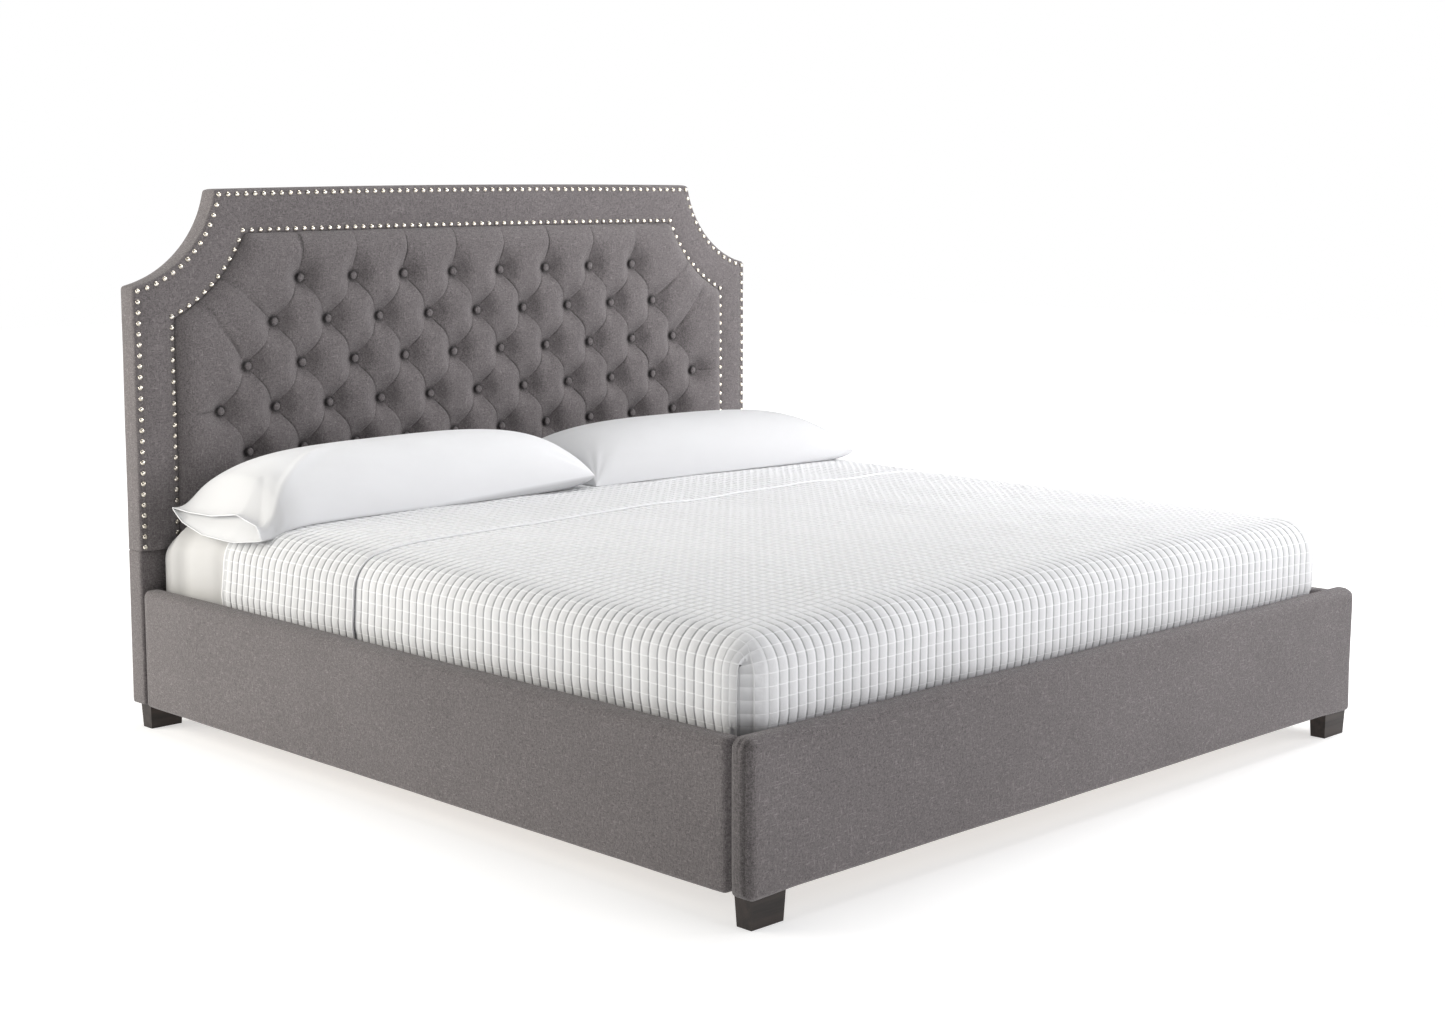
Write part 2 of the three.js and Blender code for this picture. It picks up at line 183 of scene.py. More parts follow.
def piece(name, points, faces, material, owner, darkness=None, seam=None):
    """Makes a piece with its faces outward. owner is its body, its slot and any CAD node it stands
    for, and points closer together than seam are joined."""
    thing = mesh_object(name, points, faces, material)
    # darkness is painted shade
    if darkness is not None:
        shade(thing, darkness)
    if seam:
        weld(thing, seam)
    face_outward(thing)
    belongs(thing, *owner)
    return thing


# ---------------------------------------------------------------- materials


class Finish:
    """A node material under construction, with short ways to add and link nodes."""

    def __init__(self, name, **surface):
        self.material = bpy.data.materials.new(name)
        self.material.use_nodes = True
        self.nodes = self.material.node_tree.nodes
        self.links = self.material.node_tree.links
        self.shader = self.nodes["Principled BSDF"]
        self.set(self.shader, surface)
        self.place = self.nodes.new("ShaderNodeTexCoord").outputs["Object"]

    def set(self, node, values):
        """Sets a node's inputs, or links them. An underscore in a name stands for a space."""
        for key, value in values.items():
            key = key.replace("_", " ") if isinstance(key, str) else key
            if isinstance(value, bpy.types.NodeSocket):
                self.links.new(value, node.inputs[key])
            else:
                node.inputs[key].default_value = value

    def add(self, kind, output, values, **settings):
        """Adds a node with its settings and input values, and gives one of its outputs."""
        node = self.nodes.new("ShaderNode" + kind)
        for key, value in settings.items():
            setattr(node, key, value)
        self.set(node, values)
        return node.outputs[output]

    def stretched(self, scale):
        return self.add("Mapping", "Vector", {"Vector": self.place, "Scale": scale})

    def noise(self, scale, detail=2.0, roughness=0.5, vector=None):
        values = {"Vector": vector or self.place, "Scale": scale}
        return self.add("TexNoise", "Fac", {**values, "Detail": detail, "Roughness": roughness})

    def wave(self, direction, scale, distortion=0.0):
        values = {"Vector": self.place, "Scale": scale, "Distortion": distortion, "Detail Scale": 2.0}
        return self.add("TexWave", "Fac", values, bands_direction=direction)

    def weave(self, scale):
        """Threads along all three axes."""
        threads = self.maths("ADD", self.wave("X", scale), self.wave("Y", scale))
        return self.maths("ADD", threads, self.wave("Z", scale))

    def maths(self, operation, *values):
        return self.add("Math", "Value", dict(enumerate(values)), operation=operation)

    def span(self, value, low, high, to_low=0.0, to_high=1.0):
        """A value between low and high, spread over another range."""
        values = {"Value": value, "From Min": low, "From Max": high}
        return self.add("MapRange", "Result", {**values, "To Min": to_low, "To Max": to_high})

    def mix(self, share, first, second, blend="MIX"):
        inputs = {0: share, 6: first, 7: second}
        return self.add("Mix", 2, inputs, data_type="RGBA", blend_type=blend)

    def colour(self, socket, folds=0.0):
        """The surface colour, darkened by up to the given share where a piece stores painted shade."""
        if folds:
            # painted shade, read from the piece's points
            stored = self.add("Attribute", "Fac", {}, attribute_name="painted_shade")
            dark = self.span(stored, 0, 1, 1.0, 1.0 - folds)
            socket = self.mix(1.0, socket, dark, "MULTIPLY")
        self.set(self.shader, {"Base Color": socket})

    def roughness(self, socket):
        self.set(self.shader, {"Roughness": socket})

    def bump(self, height, distance, strength):
        values = {"Height": height, "Distance": distance, "Strength": strength}
        self.set(self.shader, {"Normal": self.add("Bump", "Normal", values)})


def grey(value):
    return (value, value, value, 1.0)


def scaled(colour, factor):
    """A colour made lighter or darker, its alpha left at 1."""
    return (*(min(1, c * factor) for c in colour[:3]), 1.0)


def linen(name, dark, light):
    """Coarse heathered weave: fine mottling, short pale and dark slubs along all threads."""
    f = Finish(name, Sheen_Weight=0.22, Sheen_Roughness=0.45, Specular_IOR_Level=0.15)
    fine, coarse = f.noise(560, 3.0, 0.75), f.noise(225, 2.0, 0.7)
    mottle = f.span(f.maths("ADD", fine, coarse), 0.72, 1.28)
    base = f.mix(mottle, dark, light)
    threads = [f.stretched(scale) for scale in ((75, 480, 480), (480, 75, 480), (480, 480, 75))]
    along_x, along_y, along_z = (f.span(f.noise(1.0, 1.0, 0.4, t), 0.60, 0.76) for t in threads)
    slubs = f.maths("MAXIMUM", f.maths("MAXIMUM", along_x, along_y), along_z)
    flecked = f.mix(f.maths("MULTIPLY", slubs, 0.40), base, scaled(light, 1.9))
    cloudy = f.span(f.noise(3.5, 2.0), 0.3, 0.7, 0.94, 1.06)
    # painted shade: the colour darkens by up to 0.75 where the piece stores it, in tufting pits and
    # pleats, round button rims and on the footboard's ends
    f.colour(f.mix(1.0, flecked, cloudy, "MULTIPLY"), folds=0.75)
    height = f.maths("ADD", f.maths("MULTIPLY", f.weave(230), 0.3), f.noise(420, 3.0, 0.7))
    f.bump(height, 0.0010, 0.8)
    f.roughness(f.span(mottle, 0, 1, 0.98, 0.88))
    return f.material


def cotton(name, tint):
    """Smooth white bed linen: a fine weave and very soft creases."""
    f = Finish(name, Sheen_Weight=0.1, Sheen_Roughness=0.4, Specular_IOR_Level=0.25)
    soft = f.span(f.noise(7.0, 3.0), 0.3, 0.7)
    # painted shade: darkens by up to 0.85 where the sheet and the pillow cases store it
    f.colour(f.mix(soft, tint, scaled(tint, 1.03)), folds=0.85)
    threads = f.maths("MULTIPLY", f.weave(420), 0.04)
    f.bump(f.maths("ADD", threads, f.noise(9.0, 3.0, 0.45)), 0.003, 0.5)
    f.roughness(f.span(soft, 0, 1, 0.86, 0.92))
    return f.material


def quilted_cotton(name, tint):
    """Quilted bed linen: the weave with small puckers. Its cells are in its shape."""
    f = Finish(name, Sheen_Weight=0.1, Sheen_Roughness=0.4, Specular_IOR_Level=0.2)
    soft = f.span(f.noise(60.0, 3.0), 0.3, 0.7)
    # painted shade, up to 0.34, on the coverlet's cells; the lines left out of it stand as pale painted
    # highlights
    f.colour(f.mix(soft, tint, scaled(tint, 1.04)), folds=0.34)
    threads = f.maths("MULTIPLY", f.weave(300), 0.10)
    f.bump(f.maths("ADD", threads, f.noise(140.0, 3.0, 0.6)), 0.0012, 0.6)
    f.roughness(f.span(soft, 0, 1, 0.84, 0.92))
    return f.material


def ticking(name):
    """Mattress ticking: white with a woven diamond quilting and pale stripes."""
    f = Finish(name, Sheen_Weight=0.1, Specular_IOR_Level=0.25)
    stripes = f.span(f.wave("X", 7.0), 0.86, 0.94)
    f.colour(f.mix(stripes, (0.74, 0.73, 0.70, 1), (0.50, 0.53, 0.58, 1)))
    quilt = f.maths("ADD", f.wave("DIAGONAL", 2.2), f.wave("Y", 2.2, 1.0))
    f.bump(f.maths("ADD", quilt, f.maths("MULTIPLY", f.noise(400), 0.1)), 0.004, 0.6)
    f.roughness(f.span(f.noise(30), 0.3, 0.7, 0.85, 0.93))
    return f.material


def wood(name, dark, light, axis, roughness, grain=38.0):
    """Timber with its grain along one axis: long streaks, rings and fine pores."""
    f = Finish(name, Specular_IOR_Level=0.4)
    along = {"X": (0.06, 1, 1), "Y": (1, 0.06, 1), "Z": (1, 1, 0.06)}[axis]
    streaks = f.noise(grain, 5.0, 0.6, f.stretched(along))
    pores = f.noise(grain * 9, 2.0, 0.7, f.stretched(along))
    tone = f.mix(f.span(streaks, 0.32, 0.68), dark, light)
    f.colour(f.mix(f.span(pores, 0.60, 0.78, 0.0, 0.55), tone, scaled(dark, 0.6)))
    f.roughness(f.span(streaks, 0.3, 0.7, roughness + 0.08, roughness - 0.05))
    f.bump(f.maths("ADD", streaks, f.maths("MULTIPLY", pores, 0.5)), 0.0008, 0.4)
    return f.material


def plywood(name):
    """Sheet with veneer faces: the plies show as thin bands through its thickness, along Y."""
    f = Finish(name, Specular_IOR_Level=0.35)
    plies = f.span(f.wave("Y", 95.0), 0.4, 0.6)
    grain = f.noise(25, 4.0, 0.6, f.stretched((0.08, 1, 1)))
    veneer = f.mix(f.span(grain, 0.35, 0.65), (0.42, 0.27, 0.15, 1), (0.58, 0.41, 0.25, 1))
    f.colour(f.mix(f.maths("MULTIPLY", plies, 0.45), veneer, (0.25, 0.15, 0.08, 1)))
    f.roughness(f.span(grain, 0.3, 0.7, 0.75, 0.65))
    f.bump(grain, 0.0006, 0.4)
    return f.material


def metal(name, colour, roughness, wear):
    """Metal with a faint patina and fine scratches."""
    f = Finish(name, Metallic=1.0)
    patina = f.noise(160, 3.0, 0.6)
    f.colour(f.mix(f.span(patina, 0.35, 0.7), colour, wear))
    f.roughness(f.span(f.noise(400, 2.0), 0.3, 0.7, roughness - 0.06, roughness + 0.08))
    f.bump(f.noise(260, 3.0), 0.0003, 0.3)
    return f.material


def plastic(name, colour):
    """Moulded plastic with a fine grain."""
    f = Finish(name, Specular_IOR_Level=0.5)
    mottle = f.noise(300, 3.0)
    f.colour(f.mix(f.span(mottle, 0.3, 0.7), colour, scaled(colour, 1.5)))
    f.roughness(f.span(mottle, 0.3, 0.7, 0.45, 0.6))
    f.bump(f.noise(900, 2.0), 0.0002, 0.5)
    return f.material


def floor_finish(name):
    """A white studio floor that glows a little, so that shadows on it stay pale, and more far out,
    where less light reaches it."""
    f = Finish(name, Roughness=0.9, Specular_IOR_Level=0.0)
    f.colour(f.mix(f.span(f.noise(4.0), 0.3, 0.7), grey(0.60), grey(0.62)))
    radius = f.add("VectorMath", "Value", {"Vector": f.place}, operation="LENGTH")
    glow = f.span(radius, 2.0, 4.2, 0.56, 1.0)
    f.set(f.shader, {"Emission_Color": (1, 1, 1, 1), "Emission_Strength": glow})
    return f.material


LINEN = linen("grey_linen", (0.086, 0.078, 0.079, 1), (0.208, 0.189, 0.191, 1))
LINING = linen("back_lining", grey(0.035), grey(0.075))
# the sheet's cotton is made greyer than the other whites, as painted shade where the warm left lamp lights
# it strongly
SMOOTH_COTTON = cotton("smooth_cotton", (0.61, 0.605, 0.60, 1))
PILLOW_COTTON = cotton("pillow_cotton", (0.77, 0.775, 0.79, 1))
QUILTED = quilted_cotton("quilted_cotton", (0.83, 0.835, 0.85, 1))
TICKING = ticking("mattress_ticking")
LEG_WOOD = wood("dark_leg_wood", (0.007, 0.004, 0.003, 1), (0.026, 0.016, 0.012, 1), "X", 0.42, 60)
PINE = {
    axis: wood(f"pine_{axis}", (0.50, 0.33, 0.17, 1), (0.72, 0.53, 0.32, 1), axis, 0.62)
    for axis in "XYZ"
}
PLYWOOD = plywood("plywood")
NICKEL = metal("nickel_nails", (0.86, 0.82, 0.74, 1), 0.24, (0.62, 0.56, 0.46, 1))
STEEL = metal("dark_steel", (0.10, 0.10, 0.11, 1), 0.42, (0.20, 0.19, 0.18, 1))
PLASTIC = plastic("black_plastic", (0.012, 0.012, 0.013, 1))

# ---------------------------------------------------------------- headboard outline


def edge_sizes(inset):
    """For the headboard's outline moved inwards by an inset: its half width, its top, the radius of
    its scooped corners, and the x and z where a scoop meets the top and the side."""
    half, top, radius = HALF_WIDTH - inset, TOP - inset, NOTCH_RADIUS + inset
    corner_x = NOTCH_X - math.sqrt(radius**2 - (NOTCH_Z - top) ** 2)
    shoulder_z = NOTCH_Z - math.sqrt(radius**2 - (NOTCH_X - half) ** 2)
    return half, top, radius, corner_x, shoulder_z


def outline(inset, bottom, spacing, fillet=0.009):
    """Points along the headboard's outline, moved inwards by an inset, from the lower left end over
    the scooped corners to the lower right end, with how far each point is from the nearest corner."""
    half, top, radius, corner_x, shoulder_z = edge_sizes(inset)
    start = math.atan2(shoulder_z - NOTCH_Z, NOTCH_X - half)
    end = math.atan2(top - NOTCH_Z, NOTCH_X - corner_x)

    def side(t):
        return np.stack([-half + 0 * t, bottom + (shoulder_z - bottom) * t], -1)

    def notch(t):
        angle = start + (end - start) * t
        return np.stack([-NOTCH_X + radius * np.cos(angle), NOTCH_Z + radius * np.sin(angle)], -1)

    def across(t):
        return np.stack([-corner_x + corner_x * t, top + 0 * t], -1)

    nominal_lengths = [TOP - 0.24 - bottom, 0.37, 0.8]  # the same for every inset, so that rows match
    steps = [int(length / spacing) for length in nominal_lengths]
    stretches, turns = [], []
    true_lengths = [shoulder_z - bottom, radius * abs(end - start), corner_x]
    for stretch, count, length in zip((side, notch, across), steps, true_lengths):
        t = np.linspace(0, 1, count + 1)
        stretches.append(stretch(t))
        turns.append(t * length)
    shoulder, corner = stretches[1][0], stretches[1][-1]

    def rounded(points, distance, centre, before, after, first):
        """Points near a corner move onto a curve that cuts it."""
        near = distance < fillet
        tau = 0.5 - 0.5 * distance[near] / fillet if first else 0.5 + 0.5 * distance[near] / fillet
        tau = tau[:, None]
        points[near] = (1 - tau) ** 2 * before + 2 * tau * (1 - tau) * centre + tau**2 * after

    def at(stretch, length, distance):
        return stretch(np.array([distance / length]))[0]

    a = at(side, true_lengths[0], true_lengths[0] - fillet)
    b = at(notch, true_lengths[1], fillet)
    c = at(notch, true_lengths[1], true_lengths[1] - fillet)
    d = at(across, true_lengths[2], fillet)
    to_shoulder = [true_lengths[0] - turns[0], turns[1]]
    to_corner = [true_lengths[1] - turns[1], turns[2]]
    rounded(stretches[0], to_shoulder[0], shoulder, a, b, True)
    rounded(stretches[1], to_shoulder[1], shoulder, a, b, False)
    rounded(stretches[1], to_corner[0], corner, c, d, True)
    rounded(stretches[2], to_corner[1], corner, c, d, False)
    left = np.vstack([stretches[0], stretches[1][1:], stretches[2][1:]])
    nearest = np.concatenate(
        [to_shoulder[0], np.minimum(to_shoulder[1], to_corner[0])[1:], to_corner[1][1:]]
    )
    right = left[-2::-1] * [-1, 1]
    return np.vstack([left, right]), np.concatenate([nearest, nearest[-2::-1]])


def crowned(points):
    """The headboard's top edge rises slightly in the middle."""
    rise = TOP_CROWN * (1 - 2 * (points[:, 0] / TOP_HALF) ** 2)
    rise = np.maximum(rise, -TOP_CROWN)
    points[:, 2] += rise * smoothstep(1.10, 1.30, points[:, 2])
    return points


def nail_places(inset):
    """Nail centres, evenly spaced along each stretch, with one at every corner of the outline."""
    path, turn = outline(inset, SEAM + 0.010, spacing=0.002, fillet=0.0001)
    corners = [i for i in range(1, len(path) - 1) if turn[i] <= 1e-9]
    ends = [0, *corners, len(path) - 1]
    places = []
    for first, last in zip(ends, ends[1:]):
        stretch = path[first : last + 1]
        run = np.concatenate([[0], np.cumsum(np.linalg.norm(np.diff(stretch, axis=0), axis=1))])
        count = round(run[-1] / NAIL_PITCH)
        for k in range(count if last < len(path) - 1 else count + 1):
            s = run[-1] * k / count
            places.append([np.interp(s, run, stretch[:, 0]), np.interp(s, run, stretch[:, 1])])
    return np.array(places)


def dimples(points, nails):
    """How strongly each point is pulled in by the nails near it, from 0 to 1."""
    reach = 0.0075
    pull = np.zeros(len(points))
    for nail in nails:
        distance = np.hypot(points[:, 0] - nail[0], points[:, 2] - nail[1])
        pull = np.maximum(pull, np.exp(-((distance / reach) ** 2)))
    return pull


OUTER_ROW = nail_places(OUTER_NAILS)
INNER_ROW = nail_places(INNER_NAILS)

# ---------------------------------------------------------------- headboard


def border_profile():
    """The border's section, from under the tufted panel round the edge to the back, as inset and y."""
    profile = [(0.1135, 0.014), (0.1110, 0.004), (0.1085, 0.0010), (0.1060, 0.0012), (0.1035, 0.0016)]
    profile += [(0.1010, 0.0010), (0.0985, 0.0002)]
    band = np.linspace(0, 1, 15)[1:-1]
    profile += [(0.0985 - 0.0805 * t, 0.0002 - 0.0022 * math.sin(math.pi * t) ** 0.7) for t in band]
    profile += [(0.0180, 0.0002), (0.0150, 0.0008), (0.0125, 0.0013), (0.0105, 0.0009)]
    for angle in np.radians(np.linspace(10, 90, 8)):
        profile.append((0.009 - 0.009 * math.sin(angle), 0.009 - 0.0085 * math.cos(angle)))
    depth = BACK - BORDER_FRONT
    for t in (0.25, 0.5, 0.75):
        profile.append((-0.0012 * math.sin(math.pi * t), 0.009 + (depth - 0.014) * t))
    for angle in np.radians(np.linspace(0, 90, 5)):
        profile.append((0.005 - 0.005 * math.cos(angle), depth - 0.005 + 0.005 * math.sin(angle)))
    profile += [(0.0103, depth + 0.0002), (0.0140, depth + 0.0001)]
    return profile


def headboard_border():
    """The border band: cloth round the headboard's edge, drawn in at every nail."""
    rows = []
    for inset, depth in border_profile():
        path, turn = outline(max(inset, 0.0), SEAM, spacing=0.0055)
        if inset < 0:
            path = path * [1 - inset / HALF_WIDTH, 1] + [0, -inset]
        mitre = 0.0014 * np.exp(-((turn / 0.0022) ** 2)) * (0.004 < depth + 0.01 < 0.03)
        y = np.full(len(path), BORDER_FRONT + depth) + mitre
        rows.append(np.column_stack([path[:, 0], y, path[:, 1]]))
    columns = len(rows[0])
    points = np.vstack(rows)
    front = points[:, 1] < BORDER_FRONT + 0.006
    nails = np.vstack([OUTER_ROW, INNER_ROW])
    pull = dimples(points[front], nails)
    points[front, 1] += 0.0016 * pull
    points[:, 1] += ripple(points, 0.13, 0.00035, 11)
    owner = "bed_frame", "grey_linen", "headboard_border"
    faces = grid_faces(len(rows), columns)
    piece("headboard_border_fabric", crowned(points), faces, LINEN, owner)


def dome_profile(radius, height, steps):
    """A dome's section from its top to its rim, as radius and height."""
    angles = np.radians(np.linspace(0, 90, steps))
    return [(radius * math.sin(a), height * math.cos(a) ** 0.9) for a in angles]


def lathe_y(centre, profile, sides, tilt):
    """A round piece about an axis that points out of the headboard, tilted a little."""
    points = []
    for r, h in profile:
        for k in range(sides):
            angle = 2 * math.pi * k / sides
            x, z = r * math.cos(angle), r * math.sin(angle)
            points.append([centre[0] + x, centre[1] - h + tilt[0] * x + tilt[1] * z, centre[2] + z])
    return points


def round_heads(places, face, profile, sides, seed, unevenness):
    """Points and faces of a round head at every place, each tilted a little."""
    rng = np.random.default_rng(seed)
    points, faces = [], []
    for x, z in places:
        first = len(points)
        points += lathe_y((x, face, z), profile, sides, rng.normal(0, unevenness, 2))
        faces += grid_faces(len(profile), sides, first, wrap_columns=True).tolist()
        faces.append(list(range(first, first + sides)))
    return crowned(np.array(points)), faces


def nail_row(name, places, node):
    """A row of domed nails, each set a little unevenly."""
    profile = dome_profile(NAIL_RADIUS, NAIL_HEIGHT, 7) + [(NAIL_RADIUS * 0.96, -0.0006)]
    profile[0] = (0.0002, NAIL_HEIGHT)
    points, faces = round_heads(places, BORDER_FRONT + 0.0008, profile, 18, len(places), 0.05)
    piece(name, points, faces, NICKEL, ("bed_frame", "nickel_nails", node))


def button_rows():
    """Each row's height and button places along X, from the top row down."""
    rows = []
    for k, count in enumerate(BUTTONS_IN_ROW):
        z = FIRST_BUTTON_ROW - BUTTON_ROW_STEP * k
        rows.append([((i - (count - 1) / 2) * BUTTON_PITCH, z) for i in range(count)])
    return rows


BUTTON_ROWS = button_rows()
BUTTONS = [place for row in BUTTON_ROWS for place in row]
EDGE_STEPS = np.array([0, 0.012, 0.03, 0.06, 0.10, 0.16, 0.23, 0.31, 0.40])
EDGE_STEPS = np.concatenate([EDGE_STEPS, [0.5], 1 - EDGE_STEPS[::-1]])


def on_notch(side, x, z):
    """The point on the panel's scooped edge that is nearest to a place."""
    centre = np.array([side * NOTCH_X, NOTCH_Z])
    direction = centre - [x, z]
    direction /= np.linalg.norm(direction)
    return centre - direction * (NOTCH_RADIUS + PANEL_INSET)


def along(polyline, shares):
    """Points at the given shares of a polyline's length."""
    polyline = np.array(polyline)
    run = np.concatenate([[0], np.cumsum(np.linalg.norm(np.diff(polyline, axis=0), axis=1))])
    at = np.asarray(shares) * run[-1]
    return np.stack([np.interp(at, run, polyline[:, 0]), np.interp(at, run, polyline[:, 1])], -1)


def chain(*corners):
    """Points along straight edges between corners, closer together at each corner."""
    parts = [along([a, b], EDGE_STEPS) for a, b in zip(corners, corners[1:])]
    return np.vstack([parts[0]] + [p[1:] for p in parts[1:]])


def ruled(inner, outer):
    """A patch between two rows of points."""
    t = EDGE_STEPS[:, None, None]
    return inner[None] * (1 - t) + outer[None] * t


def notch_arc(side, start, end):
    """The panel's scooped edge between two points on it."""
    centre = np.array([side * NOTCH_X, NOTCH_Z])
    a = math.atan2(*(np.array(start) - centre)[::-1])
    b = math.atan2(*(np.array(end) - centre)[::-1])
    if abs(b - a) > math.pi:
        b += 2 * math.pi * (1 if a > b else -1)
    radius = NOTCH_RADIUS + PANEL_INSET
    angles = np.linspace(a, b, 24)
    return [centre + radius * np.array([math.cos(t), math.sin(t)]) for t in angles]


def tuft_patches():
    """Patches that cover the tufted panel, with their edges along the pleats, and the pleats: where
    each starts and ends, and whether it runs between two buttons."""
    rows = BUTTON_ROWS
    half, top, _, corner_x, shoulder_z = edge_sizes(PANEL_INSET)
    patches, pleats = [], []
    for upper, lower in zip(rows, rows[1:]):
        for x, z in upper:
            for below in lower:
                if abs(abs(below[0] - x) - BUTTON_PITCH / 2) < 1e-6:
                    pleats.append(((x, z), below, True))
    present = {tuple(np.round(button, 5)) for button in BUTTONS}
    for row in rows[:-2]:
        for x, z in row:
            low = (x, z - 2 * BUTTON_ROW_STEP)
            left, right = ((x + side * BUTTON_PITCH / 2, z - BUTTON_ROW_STEP) for side in (-1, 1))
            if all(tuple(np.round(p, 5)) in present for p in (low, left, right)):
                patches.append(ruled(chain((x, z), left), chain(right, low)))
    for row, between, edge_z in ((rows[0], rows[1][1:-1], top), (rows[-1], rows[-2], SEAM)):
        for left, right, middle in zip(row, row[1:], between):
            inner = chain(left, middle, right)
            outer = np.column_stack([inner[:, 0], np.full(len(inner), edge_z)])
            patches.append(ruled(inner, outer))
        pleats += [((x, z), (x, edge_z), False) for x, z in row]
    for side in (-1, 1):
        r0, r1, r2, r3, r4, r5 = (row[0] if side < 0 else row[-1] for row in rows)
        top_at = np.array([r0[0], top])
        corner, shoulder = np.array([side * corner_x, top]), np.array([side * half, shoulder_z])
        n1 = on_notch(side, r1[0] + side * 0.03, r1[1])
        n2 = on_notch(side, r2[0] + side * 0.012, r2[1])
        s3, s5 = np.array([side * half, r3[1]]), np.array([side * half, r5[1]])
        low, foot = np.array([side * half, SEAM]), np.array([r5[0], SEAM])
        borders = [
            ((r0, r1), [top_at, *notch_arc(side, corner, n1)]),
            ((r1, r2), notch_arc(side, n1, n2)),
            ((r2, r3), [*notch_arc(side, n2, shoulder), s3]),
            ((r3, r4, r5), [s3, s5]),
            ((r5, r5), [s5, low, foot]),
        ]
        for corners, outer in borders:
            one_button = corners[0] == corners[-1]
            inner = np.repeat([corners[0]], len(EDGE_STEPS), 0) if one_button else chain(*corners)
            shares = np.linspace(0, 1, len(inner))
            patches.append(ruled(inner, along(outer, shares)))
        for button, end in ((r1, n1), (r2, n2), (r3, s3), (r5, s5)):
            pleats.append((button, tuple(end), False))
    return patches, pleats


def distance_to_edge(points):
    """How far inside the tufted panel's outline each point lies."""
    half, top, radius, _, _ = edge_sizes(PANEL_INSET)
    x, z = np.abs(points[:, 0]), points[:, 1]
    to_notch = np.hypot(NOTCH_X - x, NOTCH_Z - z) - radius
    return np.maximum(0, np.minimum.reduce([half - x, top - z, to_notch]))


def pleat_pull(points, pleats):
    """For each pleat, how far along it each point lies, and how far away from it."""
    for a, b, between_buttons in pleats:
        a, b = np.array(a), np.array(b)
        share = np.clip((points - a) @ (b - a) / ((b - a) @ (b - a)), 0, 1)
        distance = np.linalg.norm(points - a - share[:, None] * (b - a), axis=1)
        yield share, distance, between_buttons


def puff_height(points, pleats):
    """Height of the tufted surface in front of the border, at points given as x and z, and its painted
    shade.
    """
    fullness = np.ones(len(points))
    pit = np.zeros(len(points))
    for x, z in BUTTONS:
        far = np.hypot(points[:, 0] - x, points[:, 1] - z)
        fullness *= 1 - np.exp(-((np.maximum(0, far - PIT_FLOOR) / PIT_SLOPE) ** 1.3))
        pit = np.maximum(pit, 1 - smoothstep(BUTTON_RADIUS + 0.001, BUTTON_RADIUS + 0.011, far))
    groove = np.zeros(len(points))
    for share, distance, between_buttons in pleat_pull(points, pleats):
        rise = np.sin(math.pi * share) if between_buttons else np.minimum(1, share * 1.6)
        drawn_in = 1 - (0.80 if between_buttons else 0.82) * rise**0.75
        reach = np.clip(distance / PLEAT_REACH, 0, 1)
        fullness *= 1 - drawn_in * (1 - np.sin(math.pi / 2 * reach) ** 0.55)
        groove = np.maximum(groove, np.exp(-distance / 0.0011))
    groove *= 0.55 + 0.45 * np.sin(63 * points[:, 0] + 31 * points[:, 1])  # deep here, faint there
    edge = distance_to_edge(points)
    roll = np.sin(math.pi / 2 * np.clip(edge / 0.050, 0, 1)) ** 0.65
    place = np.column_stack([points[:, 0], 0 * edge, points[:, 1]])
    height = BUTTON_SEAT + (PUFF_CREST - BUTTON_SEAT) * fullness + ripple(place, 0.07, 0.0005, 5)
    height = (height - 0.0022 * groove * smoothstep(0.004, 0.012, height)) * roll
    # painted shade in the pits round the buttons and along the pleats
    darkness = np.maximum(0.80 * pit, 0.50 * groove)
    return height - 0.004 * (1 - smoothstep(0, 0.004, edge)), darkness


def tufted_panel():
    """The panel's cloth: puffs between pleats that run from button to button."""
    patches, pleats = tuft_patches()
    points, faces, first = [], [], 0
    for patch in patches:
        rows, columns = patch.shape[:2]
        points.append(patch.reshape(-1, 2))
        faces += grid_faces(rows, columns, first).tolist()
        first += rows * columns
    flat = np.vstack(points)
    height, darkness = puff_height(flat, pleats)
    shaped = np.column_stack([flat[:, 0], BORDER_FRONT - height, flat[:, 1]])
    owner = "bed_frame", "grey_linen", "headboard_tufted_panel"
    piece("headboard_tufted_fabric", crowned(shaped), faces, LINEN, owner, darkness, seam=2e-5)


def tufting_buttons():
    """Cloth-covered buttons, with painted shade round their rims where they press into the pits."""
    profile = [(0.0002, 0.0086), (0.35, 0.0085), (0.62, 0.0080), (0.80, 0.0070), (0.91, 0.0055)]
    profile += [(0.98, 0.0034), (1.0, 0.0012), (0.97, -0.0012), (0.86, -0.0028)]
    profile = [(r * BUTTON_RADIUS if r > 0.01 else r, h) for r, h in profile]
    rim_shade = [0, 0, 0.06, 0.20, 0.50, 0.85, 1.0, 1.0, 1.0]
    sides = 24
    face = BORDER_FRONT - BUTTON_SEAT - 0.0016
    points, faces = round_heads(BUTTONS, face, profile, sides, 3, 0.06)
    darkness = np.tile(np.repeat(rim_shade, sides), len(BUTTONS))
    piece("tufting_buttons", points, faces, LINEN, ("bed_frame", "grey_linen"), darkness=darkness)


